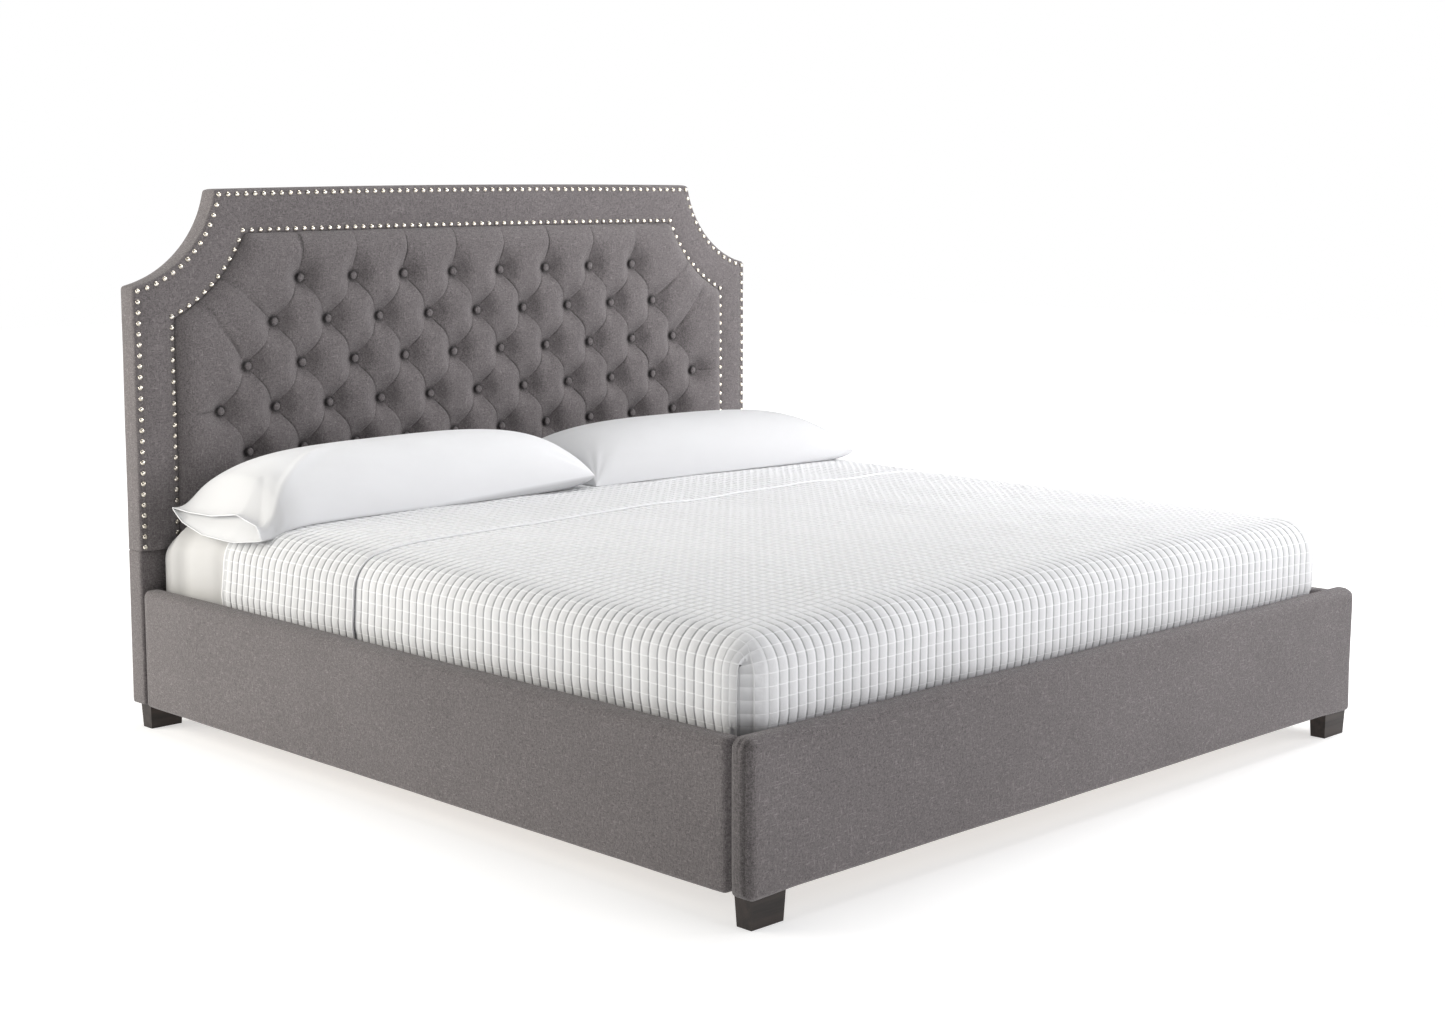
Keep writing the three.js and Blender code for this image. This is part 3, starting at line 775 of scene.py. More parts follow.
def headboard_lower_cover():
    """The plain lower part: cloth round the front and the sides, turned under at the bottom."""
    low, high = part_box("headboard_lower_cover")
    radius = 0.009
    plan = [(low.x + 0.012, high.y + 0.0002)]
    for angle in np.radians(np.linspace(90, 180, 5)):
        plan.append((low.x + 0.005 + 0.005 * math.cos(angle), high.y - 0.005 + 0.005 * math.sin(angle)))
    for angle in np.radians(np.linspace(180, 270, 7)):
        plan.append((low.x + radius + radius * math.cos(angle), low.y + radius + radius * math.sin(angle)))
    middle = [(x, low.y) for x in np.linspace(low.x + 0.03, high.x - 0.03, 120)]
    plan = np.array(plan + middle + [(-x, y) for x, y in plan[::-1]])
    heights = [(high.z + 0.002, 0.004), (high.z - 0.001, 0.0015), (high.z - 0.004, 0.0)]
    heights += [(z, 0.0) for z in np.linspace(high.z - 0.02, low.z + 0.012, 34)]
    for turn in (0.5, 1.0, 1.57):
        heights.append((low.z + 0.005 - 0.005 * math.sin(turn), 0.005 - 0.005 * math.cos(turn)))
    heights += [(low.z, 0.020)]
    centre = np.array([0, (low.y + high.y) / 2])
    rows = []
    for z, inset in heights:
        xy = plan - np.sign(plan - centre) * inset
        rows.append(np.column_stack([xy, np.full(len(xy), z)]))
    points = np.vstack(rows)
    points[:, 1] += ripple(points, 0.2, 0.0006, 8) * (points[:, 1] < low.y + 0.01)
    owner = "bed_frame", "grey_linen", "headboard_lower_cover"
    piece("headboard_lower_fabric", points, grid_faces(len(rows), len(plan)), LINEN, owner)


# ---------------------------------------------------------------- rails and footboard


def rounded_section(half_across, low, high, top_radius, bottom_radius):
    """A rectangle with rounded corners, as across and up, anticlockwise from the lower right."""
    per_corner, per_side = 8, 14
    corners = [
        (half_across - bottom_radius, low + bottom_radius, bottom_radius, -90),
        (half_across - top_radius, high - top_radius, top_radius, 0),
        (-half_across + top_radius, high - top_radius, top_radius, 90),
        (-half_across + bottom_radius, low + bottom_radius, bottom_radius, 180),
    ]
    arcs = []
    for a, b, radius, start in corners:
        angles = np.radians(np.linspace(start, start + 90, per_corner + 1))
        arcs.append(np.stack([a + radius * np.cos(angles), b + radius * np.sin(angles)], -1))
    ring = []
    for arc, following in zip(arcs, arcs[1:] + arcs[:1]):
        ring.append(arc)
        straight = np.linspace(0, 1, per_side + 1)[1:-1, None]
        ring.append(arc[-1] * (1 - straight) + following[0] * straight)
    return np.vstack(ring)


def soft_bar(low, high, along_x, top_radius, bottom_radius, end_radius, shape):
    """A padded bar from corner to corner with rounded ends. shape(points) moves its points."""
    length_axis = 0 if along_x else 1
    start, end = low[length_axis], high[length_axis]
    across_axis = 1 - length_axis
    middle = (low[across_axis] + high[across_axis]) / 2
    half = (high[across_axis] - low[across_axis]) / 2
    centre_up = (low[2] + high[2]) / 2
    angles = np.radians(np.linspace(0, 90, 9))
    edge = [(end_radius * (1 - math.cos(a)), end_radius * (1 - math.sin(a))) for a in angles]
    stations = [(0, end_radius, share) for share in (0.02, 0.25, 0.5, 0.75)]
    stations += [(offset, inset, 1) for offset, inset in edge]
    near = np.concatenate([np.linspace(0.004, 0.06, 12), np.linspace(0.07, 0.12, 5)]) + end_radius
    stations += [(offset, 0, 1) for offset in near]
    span = end - start
    body = np.linspace(near[-1] + 0.012, span / 2, int(span / 2 / 0.012))
    stations += [(offset, 0, 1) for offset in body]
    rings = []
    mirrored = [(span - offset, inset, share) for offset, inset, share in stations[-2::-1]]
    for offset, inset, share in stations + mirrored:
        tr, br = max(top_radius - inset, 0.002), max(bottom_radius - inset, 0.002)
        ring = rounded_section(half - inset, low[2] + inset, high[2] - inset, tr, br)
        ring = (ring - [0, centre_up]) * share + [0, centre_up]
        place = np.full(len(ring), start + offset)
        columns = [place, middle + ring[:, 0]] if along_x else [middle - ring[:, 0], place]
        rings.append(np.column_stack([*columns, ring[:, 1]]))
    return shape(np.vstack(rings)), tube_faces(len(rings), len(rings[0]))


def padded_face(value, low, high, softness):
    """1 well inside a span and 0 at its ends, with a soft shoulder."""
    inside = np.minimum(value - low, high - value)
    return np.sin(math.pi / 2 * np.clip(inside / softness, 0, 1))


def footboard():
    """The footboard's cloth. Its ends bulge and are gathered at the top, with a welt seam near the
    front and a dent across each end. Its lower edge drops a little towards both ends."""
    low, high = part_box("footboard_cover")
    seam_y = low.y + 0.0135

    def shape(p):
        x, y, z = p.T.copy()
        end = np.abs(x) - (high.x - 0.022)
        near_end = smoothstep(0, 0.018, end)
        face = padded_face(z, low.z, high.z, 0.05)
        p[:, 0] += np.sign(x) * 0.0035 * near_end * face * padded_face(y, low.y, high.y, 0.02)
        gather = np.cos((y - low.y) * 2 * math.pi / 0.0125) * smoothstep(high.z - 0.050, high.z - 0.012, z)
        p[:, 0] -= np.sign(x) * 0.0013 * near_end * (gather + 1) * 0.6
        p[:, 2] -= 0.0010 * near_end * (gather + 1) * smoothstep(high.z - 0.02, high.z, z)
        seam = np.exp(-(((y - seam_y) / 0.0016) ** 2))
        seam += 0.6 * np.exp(-(((y - seam_y - 0.006) / 0.0013) ** 2))
        p[:, 0] -= np.sign(x) * 0.0026 * near_end * seam
        dent = np.exp(-(((z - 0.245 - 0.12 * (y - low.y)) / 0.004) ** 2)) * (y > seam_y)
        p[:, 0] -= np.sign(x) * 0.0016 * near_end * dent
        sag = smoothstep(high.x - 0.15, high.x, np.abs(x)) * smoothstep(low.z + 0.06, low.z, z)
        p[:, 2] -= 0.004 * sag
        front = (y < low.y + 0.012).astype(float)
        p[:, 1] += front * ripple(np.column_stack([x, y, z]), 0.30, 0.0008, 21)
        p[:, 2] += ripple(np.column_stack([x, y * 0, z * 0]), 0.35, 0.0007, 22) * (z > 0.2)
        return p

    points, faces = soft_bar(low, high, True, 0.023, 0.012, 0.022, shape)
    # painted shade on the footboard's ends, darker along the welt seam
    end_face = smoothstep(high.x - 0.020, high.x - 0.004, np.abs(points[:, 0]))
    seam_line = np.exp(-(((points[:, 1] - seam_y) / 0.0022) ** 2))
    darkness = end_face * (0.26 + 0.3 * seam_line)
    owner = "bed_frame", "grey_linen", "footboard_cover"
    piece("footboard_fabric", points, faces, LINEN, owner, darkness)


def side_rail(side, sign):
    """A side rail's cloth, slightly uneven outside and on top, and drawn in at both ends."""
    node = f"side_rail_cover_{side}"
    low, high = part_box(node)

    def shape(p):
        x, y, z = p.T.copy()
        outer = smoothstep(0, 0.004, np.abs(x) - (max(abs(low.x), abs(high.x)) - 0.012))
        place = np.column_stack([x * 0, y, z])
        p[:, 0] += sign * outer * ripple(place, 0.32, 0.0008, 31 + sign)
        p[:, 2] += ripple(np.column_stack([x * 0, y, z * 0]), 0.4, 0.0007, 33) * (z > 0.2)
        ends = padded_face(y, low.y, high.y, 0.05)
        p[:, 0] -= sign * outer * 0.003 * (1 - ends)
        return p

    points, faces = soft_bar(low, high, False, 0.017, 0.009, 0.018, shape)
    piece(f"side_rail_fabric_{side}", points, faces, LINEN, ("bed_frame", "grey_linen", node))


# ---------------------------------------------------------------- bedding

MATTRESS_LOW, MATTRESS_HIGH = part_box("mattress")
COVERLET_LOW, COVERLET_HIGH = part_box("coverlet")
EDGE_SAG = 0.0075  # the bed's top is this much lower at its edges
FLAP_LENGTH = 0.5125
FLAP_LIFT = 0.0050  # the flap lies on the doubled cloth
SLIT_START = 0.0635  # each foot corner is slit from this far past the flat part of the bed


class Drape:
    """How a cloth lies over the mattress. Points on the flat cloth are p across and q along, both as
    lengths on the cloth: q runs from the head end's y to the foot. It bends over the sides and foot
    with round edges, and hangs straight below them."""

    def __init__(self, half_width, foot, head, top, crown, radius, wrap=(0, 0)):
        self.head, self.top, self.crown, self.radius = head, top, crown, radius
        self.wrap = wrap
        self.flat_x = half_width - radius
        self.flat_foot = foot + radius

    def beyond(self, p, q):
        """How far each point is past the flat part, over the side and over the foot."""
        return np.abs(p) - self.flat_x, q - (self.head - self.flat_foot)

    def bend(self, beyond):
        """Out, down and the angle turned, for a cloth length beyond the start of the bend."""
        angle = np.clip(beyond / self.radius, 0, math.pi / 2)
        out = self.radius * np.sin(angle)
        down = self.radius * (1 - np.cos(angle)) + np.maximum(0, beyond - self.radius * math.pi / 2)
        return out, down, angle

    def place(self, p, q, lift):
        """The point in space for each point on the cloth, and its normal. lift moves it off the
        surface."""
        side = np.sign(p)
        beyond_x, beyond_y = (np.maximum(0, length) for length in self.beyond(p, q))
        out_x, down_x, turn_x = self.bend(beyond_x)
        out_y, down_y, turn_y = self.bend(beyond_y)
        base_x = np.minimum(np.abs(p), self.flat_x)
        base_y = self.head - np.minimum(q, self.head - self.flat_foot)
        low_x, low_y = smoothstep(0.5, 1.25, turn_x), smoothstep(0.5, 1.25, turn_y)
        grow_y, grow_x = 1 + self.wrap[0] * low_x, 1 + self.wrap[1] * low_y
        wrapped_y = np.where(beyond_x > beyond_y, turn_y * grow_y, turn_y)
        wrapped_x = np.where(beyond_x > beyond_y, turn_x, turn_x * grow_x)

        def joined(out_a, down_a, turn_a, turn_b):
            """First bent over edge a, then round edge b: distance out over a, out over b, and down."""
            inward = self.radius * (1 - np.cos(turn_b))
            sideways = self.radius * np.sin(turn_b)
            return out_a - inward * np.sin(turn_a), sideways, down_a + inward * np.cos(turn_a)

        ax, ay, az = joined(out_x, down_x, turn_x, wrapped_y)
        by, bx, bz = joined(out_y, down_y, turn_y, wrapped_x)
        share = 0.5 + 0.5 * np.clip((beyond_x - beyond_y) / 0.02, -1, 1)
        over = out_y > 0
        x = np.where(over, ax * share + bx * (1 - share), ax)
        y = np.where(over, ay * share + by * (1 - share), ay)
        z = np.where(over, az * share + bz * (1 - share), az)
        normal = self.normal(turn_x, turn_y)
        height = self.top - self.sag(base_x, base_y) - z
        place = np.stack([side * (base_x + x), base_y - y, height], -1)
        normal[..., 0] *= side
        return place + normal * np.asarray(lift)[..., None], normal

    def sag(self, x, y):
        """How far the top lies below its middle: it is crowned, and eases down towards its edges."""
        from_side, from_foot = self.flat_x - x, y - self.flat_foot
        across = np.clip(x / self.flat_x, 0, 1) ** 2.6
        along = (1 - np.clip(from_foot / 0.55, 0, 1)) ** 2.2
        near_side, near_foot = np.exp(-from_side / 0.03), np.exp(-from_foot / 0.03)
        near_edge = near_side + near_foot - near_side * near_foot
        return self.crown * (across + 0.5 * along) + EDGE_SAG * near_edge

    @staticmethod
    def normal(turn_x, turn_y):
        nx, ny = np.sin(turn_x), -np.sin(turn_y) * np.cos(turn_x) ** 0.5
        nz = np.cos(turn_x) * np.cos(turn_y)
        normal = np.stack([nx, ny, nz], -1)
        return normal / np.maximum(np.linalg.norm(normal, axis=-1, keepdims=True), 1e-9)


MADE_BED = Drape(
    half_width=0.9965,
    foot=COVERLET_LOW.y + 0.002,
    head=COVERLET_HIGH.y,
    top=0.5475,
    crown=0.010,
    radius=0.072,
    wrap=(-0.35, 0.125),
)
FLAT_CELLS_ACROSS = math.floor(MADE_BED.flat_x / QUILT_CELL)
FLAT_CELLS_ALONG = math.floor((MADE_BED.head - MADE_BED.flat_foot) / QUILT_CELL)
COVERLET_SIDE = (FLAT_CELLS_ACROSS + HANGING_CELLS) * QUILT_CELL
COVERLET_FOOT = (FLAT_CELLS_ALONG + HANGING_CELLS) * QUILT_CELL
# Each cell rises gently on one side, runs nearly level and drops steeply to the next stitched line.
ACROSS_STEPS, ACROSS_RELIEF = np.array([0, 0.08, 0.66, 0.92]), [0, 0.80, 1, 0.24, 0]
ALONG_STEPS, ALONG_RELIEF = np.array([0, 0.08, 0.34, 0.92]), [0, 0.24, 1, 0.80, 0]
STEEP_SHADE = [0.8, 0.15, 0.45, 0.75, 0.8]  # painted shade across a hanging cell, from its gentle to its steep side


def quilt_lines(first, last, steps):
    """Sample places over whole quilt cells from first to last."""
    cells = round((last - first) / QUILT_CELL)
    places = [first + (k + step) * QUILT_CELL for k in range(cells) for step in steps]
    return np.array(places + [first + cells * QUILT_CELL])


def in_cell(place):
    """How far into its cell a place lies, from 0 to 1. The cloth's middle is in a cell's middle."""
    return (place / QUILT_CELL + 0.5 + 1e-6) % 1.0


def quilt_height(p, q):
    """Relief of the quilted cells, from 0 on the stitched lines to 1 at their highest, and the
    painted shade of the cloth. Lines that run down a hanging part are deep. Those round it are
    shallow, and left out of the painted shade on the cells between them, as painted highlights."""
    across = np.interp(in_cell(p), [*ACROSS_STEPS, 1], ACROSS_RELIEF)
    along = np.interp(in_cell(q), [*ALONG_STEPS, 1], ALONG_RELIEF)
    side, foot = (smoothstep(-0.03, 0.03, length) for length in MADE_BED.beyond(p, q))
    deep_p, deep_q = 1 - 0.75 * side, 1 - 0.75 * foot
    relief = (1 - deep_p * (1 - across)) * (1 - deep_q * (1 - along))
    hangs = np.maximum(side, foot)
    round_it = np.maximum(side * (across < 0.1), foot * (along < 0.1))
    side_shade = np.interp(in_cell(q), [*ALONG_STEPS, 1], STEEP_SHADE)
    foot_shade = np.interp(in_cell(p), [*ACROSS_STEPS, 1], STEEP_SHADE[::-1])
    tone = np.where(foot > side, foot_shade, side_shade)
    top_shade = 0.28 + 0.25 * np.maximum(across < 0.1, along < 0.1)
    # painted shade on the hanging sides, lighter on each cell's gentle side and darker on its steep side,
    # with the lines round them left pale; over the top an even painted shade, more on its stitched lines
    darkness = hangs * (1 - round_it) * tone + (1 - hangs) * top_shade
    return relief, darkness


def crease_edges(thing, masks):
    """Makes every edge sharp whose two ends are both in one of the masks of points."""
    mesh = thing.data
    ends = np.empty(2 * len(mesh.edges), dtype=np.int32)
    mesh.edges.foreach_get("vertices", ends)
    ends = ends.reshape(-1, 2)
    sharp = np.zeros(len(ends), dtype=bool)
    for mask in masks:
        sharp |= mask[ends].all(axis=1)
    attribute = mesh.attributes.new("sharp_edge", "BOOLEAN", "EDGE")
    attribute.data.foreach_set("value", sharp)


def quilted_cloth(name, p, q, lift, keep=None, tone=0.0):
    """Part of the coverlet between flat-cloth places p and q, lifted off the made bed. keep says
    which of its points stay, and tone adds painted shade to its hanging sides."""
    grid_p, grid_q = np.meshgrid(p, q, indexing="ij")
    relief, darkness = quilt_height(grid_p, grid_q)
    lifted = lift(grid_p, grid_q)
    hanging = smoothstep(0.0, 0.08, MADE_BED.beyond(grid_p, grid_q)[0])
    # painted shade, and more where the cloth steps back under the slit
    darkness = np.maximum(darkness + tone * hanging, -lifted / 0.060)
    points, normal = MADE_BED.place(grid_p, grid_q, lifted + QUILT_PUFF * relief)
    points, normal = points.reshape(-1, 3), normal.reshape(-1, 3)
    points += normal * ripple(points, 0.35, 0.0018, 41)[:, None]
    tuck(points)
    faces = grid_faces(len(p), len(q))
    if keep is not None:
        faces = faces[keep(grid_p, grid_q).reshape(-1)[faces].all(axis=1)]
    cloth = mesh_object(name, points, faces, QUILTED)
    folds = (in_cell(grid_p), ACROSS_STEPS[[0, 1]]), (in_cell(grid_q), ALONG_STEPS[[0, 3]])
    crisp = [np.abs(place - step).reshape(-1) < 0.01 for place, steps in folds for step in steps]
    crease_edges(cloth, crisp)
    shade(cloth, darkness.reshape(-1))
    face_up(cloth)
    return cloth


def coverlet():
    """The quilted cloth over the top, the sides and the foot, slit at each foot corner."""
    slit = SLIT_START

    def uncut(p, q):
        beyond_x, beyond_y = MADE_BED.beyond(p, q)
        return (beyond_x < slit + QUILT_CELL) | (beyond_y < slit)

    def lift(p, q):
        """Next to the slit, the foot part steps back and the side part lies over its edge."""
        beyond_x, beyond_y = MADE_BED.beyond(p, q)
        foot_hangs = smoothstep(slit - 0.002, slit + 0.002, beyond_y)
        foot_edge = smoothstep(slit - QUILT_CELL, slit - QUILT_CELL + 0.002, beyond_x)
        side_edge = smoothstep(slit - 0.020, slit, beyond_y) * smoothstep(slit, slit + 0.03, beyond_x)
        under = foot_edge * foot_hangs * (beyond_x < slit + QUILT_CELL + 0.001)
        return 0.0015 * side_edge - 0.0038 * under

    p = quilt_lines(-COVERLET_SIDE, COVERLET_SIDE, ACROSS_STEPS)
    in_sight = 18.5 * QUILT_CELL
    hidden = np.linspace(0, in_sight, 5)[:-1]  # under the turned-back end
    q = np.concatenate([hidden, quilt_lines(in_sight, COVERLET_FOOT, ALONG_STEPS)])
    cloth = quilted_cloth("quilted_coverlet", p, q, lift, uncut)
    belongs(cloth, "mattress_body", "quilted_cotton", "coverlet")
    return cloth


def tuck(points):
    """The cloth's lower edge turns in towards the mattress, behind the rails and the footboard, and
    its hanging sides slant towards the head of the bed."""
    slant = 0.17 * np.exp(-(((COVERLET_HIGH.y - points[:, 1]) / 0.65) ** 2))
    points[:, 1] += slant * np.maximum(0, 0.51 - points[:, 2]) * (np.abs(points[:, 0]) > 0.95)
    depth = smoothstep(0, 0.045, 0.378 - points[:, 2])
    side = np.abs(points[:, 0]) > 0.95
    points[side, 0] -= np.sign(points[side, 0]) * 0.007 * depth[side]
    foot = points[:, 1] < COVERLET_LOW.y + 0.05
    points[foot, 1] += 0.007 * depth[foot]


def face_up(thing):
    """Turns the faces of an open cloth so that its top faces up."""
    face_outward(thing)
    mesh = thing.data
    upward = sum(f.normal.z * f.area for f in mesh.polygons)
    if upward < 0:
        mesh.flip_normals()


def turned_back_flap():
    """The head end of the coverlet, folded back over itself towards the foot."""

    def lift(p, q):
        ends = smoothstep(0, 0.03, q) * smoothstep(-0.003, 0.010, FLAP_LENGTH - q)
        return FLAP_LIFT * (0.6 + 0.4 * ends) + 0 * p

    p = quilt_lines(-COVERLET_SIDE, COVERLET_SIDE, ACROSS_STEPS)
    q = np.concatenate([[0.0], quilt_lines(HALF_CELL, FLAP_LENGTH, ALONG_STEPS)])
    # the flap's hanging sides get painted shade
    cloth = quilted_cloth("coverlet_turned_back", p, q, lift, tone=0.2)
    belongs(cloth, "mattress_body", "quilted_cotton")
    return cloth


def cord(name, path, radius, material, owner, sides=10):
    """A round cord along a path of points."""
    path = np.asarray(path)
    forward = np.gradient(path, axis=0)
    forward /= np.linalg.norm(forward, axis=1, keepdims=True)
    runs_along_y = abs(forward[len(path) // 2, 1]) >= 0.7
    side = np.cross(forward, [1.0, 0.0, 0.0] if runs_along_y else [0.0, 1.0, 0.0])
    side /= np.linalg.norm(side, axis=1, keepdims=True)
    up = np.cross(side, forward)
    angles = np.linspace(0, 2 * math.pi, sides, endpoint=False)
    ring = np.cos(angles)[None, :, None] * side[:, None] + np.sin(angles)[None, :, None] * up[:, None]
    points = (path[:, None] + radius * ring).reshape(-1, 3)
    return piece(name, points, tube_faces(len(path), sides), material, owner)


def flap_hem():
    """A corded hem along the flap's free edge, and the rounded fold at its head end."""
    p = np.linspace(-COVERLET_SIDE, COVERLET_SIDE, 400)
    cords = []
    rows = [("coverlet_hem", FLAP_LENGTH + 0.001, 0.0024, 0.0030), ("coverlet_fold", 0.0, 0.0045, 0.0020)]
    for name, q, radius, lift in rows:
        path, _ = MADE_BED.place(p, np.full_like(p, q), lift)
        path = path + ripple(path, 0.35, 0.0018, 41)[:, None] * [0, 0, 1]
        tuck(path)
        cords.append(cord(name, path, radius, QUILTED, ("mattress_body", "quilted_cotton")))
    return cords


def fitted_sheet():
    """Stretched over the mattress, with soft upright folds where its sides hang near the head."""
    drape = Drape(0.9755, MATTRESS_LOW.y + 0.012, MATTRESS_HIGH.y - 0.004, 0.538, 0.010, 0.075)
    p = np.linspace(-1.16, 1.16, 220)
    q = np.linspace(0.0, 2.2, 160)
    grid_p, grid_q = np.meshgrid(p, q, indexing="ij")
    folds = np.sin(grid_q * 2 * math.pi / 0.105 + 1.2 * np.sin(grid_q * 23)) * np.exp(-grid_q / 0.5)
    hanging = smoothstep(0.0, 0.14, drape.beyond(grid_p, grid_q)[0])
    points, _ = drape.place(grid_p, grid_q, 0.0045 * folds * hanging)
    points = points.reshape(-1, 3)
    bulge = smoothstep(0.16, 0.0, MATTRESS_HIGH.y - points[:, 1])
    bulge *= smoothstep(0.53, 0.43, points[:, 2]) * smoothstep(0.27, 0.30, points[:, 2])
    points[:, 1] += 0.028 * bulge
    points[:, 0] += np.sign(points[:, 0]) * 0.022 * bulge
    head_end = smoothstep(MATTRESS_HIGH.y - 0.035, MATTRESS_HIGH.y, points[:, 1])
    points[:, 0] -= np.sign(points[:, 0]) * 0.012 * head_end**2
    points[:, 2] -= 0.010 * head_end**2
    cloth = mesh_object("fitted_sheet_cloth", points, grid_faces(len(p), len(q)), SMOOTH_COTTON)
    # painted shade in the valleys of the folds, and near each foot corner, stronger lower down
    to_corner = np.hypot(np.abs(points[:, 0]) - 0.955, points[:, 1] - MATTRESS_LOW.y - 0.030)
    low_corner_shade = 0.15 + 0.60 * smoothstep(0.47, 0.42, points[:, 2])
    valley_shade = 0.20 * (hanging * np.clip(0.3 - folds, 0, 1)).reshape(-1)
    shade(cloth, np.maximum(valley_shade, low_corner_shade * (1 - smoothstep(0.03, 0.07, to_corner))))
    face_up(cloth)
    belongs(cloth, "mattress_body", "smooth_cotton", "fitted_sheet")
    return cloth


def mattress():
    """A mattress block with soft edges and a crowned top, as it lies under the sheets."""
    low, high = MATTRESS_LOW, MATTRESS_HIGH
    corner, edge = 0.085, 0.030
    half_x, half_y = high.x, (high.y - low.y) / 2
    middle = (high.y + low.y) / 2
    flat_x = half_x - 0.05
    upper_half = 0.4  # only points above this height follow the crown

    def ring(inset, z):
        radius = max(corner - inset, 0.01)
        points = []
        for sx, sy, start in ((1, -1, -90), (1, 1, 0), (-1, 1, 90), (-1, -1, 180)):
            for a in np.radians(np.linspace(start, start + 90, 9)):
                x = sx * (half_x - inset - radius) + radius * math.cos(a)
                y = middle + sy * (half_y - inset - radius) + radius * math.sin(a)
                side_fall = 0.027 * min(1, abs(x) / flat_x) ** 2.6
                end_fall = 0.022 * min(1, abs(y - middle) / half_y) ** 6
                points.append((x, y, z - (side_fall + end_fall if z > upper_half else 0)))
        return points

    turn = np.radians(np.linspace(0, 90, 6))
    profile = [(edge * (1 - math.sin(a)), low.z + edge * (1 - math.cos(a))) for a in turn]
    profile += [(0.002, low.z + 0.07), (0.002, high.z - 0.12)]
    top, soft = high.z - 0.002, 0.068
    profile += [(soft * (1 - math.cos(a)), top - soft * (1 - math.sin(a))) for a in turn]
    profile += [(inset, top) for inset in (0.10, 0.17, 0.28, 0.42, 0.60, 0.80, 0.93)]
    rows = [ring(inset, z) for inset, z in profile]
    faces = tube_faces(len(rows), len(rows[0]))
    owner = "mattress_body", "mattress_ticking", "mattress"
    piece("mattress_ticking_block", np.vstack(rows), faces, TICKING, owner)


# ---------------------------------------------------------------- pillows

SHEET_LEVEL = 0.5385  # what pillows rest on beyond the turned-back coverlet
QUILT_LEVEL = MADE_BED.top + FLAP_LIFT + 0.0025  # and on it
PILLOW_END = (3.5, 0.32)  # how a stuffed end thins out: the power and the root of its curve


def bed_top(x, y, step=0.008):
    """Height of the made bed: the turned-back coverlet, and beyond it the bare sheet. The height
    falls between them over twice the step."""
    beyond = np.maximum(0, np.abs(x) - MADE_BED.flat_x)
    _, fall, _ = MADE_BED.bend(np.minimum(beyond * 1.1, 0.09))
    fall = fall + MADE_BED.sag(np.minimum(np.abs(x), MADE_BED.flat_x), y)
    edge = MADE_BED.head + 0.004
    cover = smoothstep(edge + step, edge - step, y)
    return SHEET_LEVEL - fall + (QUILT_LEVEL - SHEET_LEVEL) * cover


def creases(u, v, corner, count, depth, reach):
    """Wrinkles that fan out from a corner of a pillow."""
    across, up = corner[0] * 1.6 - u * 1.6, corner[1] - v
    far = np.hypot(across, up)
    angle = np.arctan2(up * corner[1], across * corner[0])
    wave = np.sin(angle * count + 3 * np.sin(angle * 3.1 + count))
    return depth * wave * (far / reach) * np.exp(1 - (far / reach) ** 2)


def pillow_surface(corners, height, skew, u, v, left_end=PILLOW_END):
    """Upper and lower points of a stuffed pillow for u along it and v from its front to its back.
    left_end says how its left end thins out, in the way of PILLOW_END."""
    front_left, front_right, back_right, back_left = (np.array(c) for c in corners)
    across = u * (1 - 0.030 * (1 - v**2) * u**6)
    drawn_in = np.where(v < 0, 0.0, 0.075)  # its front edge is straight, its back edge hollow
    depth = v * (1 - drawn_in * (1 - u**2) * np.abs(v) ** 3)
    s, t = (across[..., None] + 1) / 2, (depth[..., None] + 1) / 2
    place = (1 - t) * ((1 - s) * front_left + s * front_right)
    place = place + t * ((1 - s) * back_left + s * back_right)
    x, y, seam = place[..., 0], place[..., 1], place[..., 2]
    left, right = ((1 - np.abs(u) ** power) ** root for power, root in (left_end, PILLOW_END))
    swell = np.where(u < 0, left, right) * (1 - np.abs(v) ** 2.3) ** 0.55
    rest = bed_top(x, y)
    level = bed_top(x, y, 0.20)
    seam = np.maximum(seam * (1 - swell) + (level + 0.005) * swell, level + 0.002)
    rise = height * swell * (1 + skew * u - 0.06 * v)
    for corner, count in (((-1, -1), 9), ((1, -1), 11), ((1, 1), 9), ((-1, 1), 8)):
        rise = rise + creases(u, v, corner, count, 0.0018, 0.26) * np.minimum(1, swell * 4)
    upper = np.stack([x, y, seam + np.maximum(rise, 0)], -1)
    lower = np.stack([x, y, np.maximum(rest, seam - 0.030 * swell**0.5)], -1)
    return upper, lower


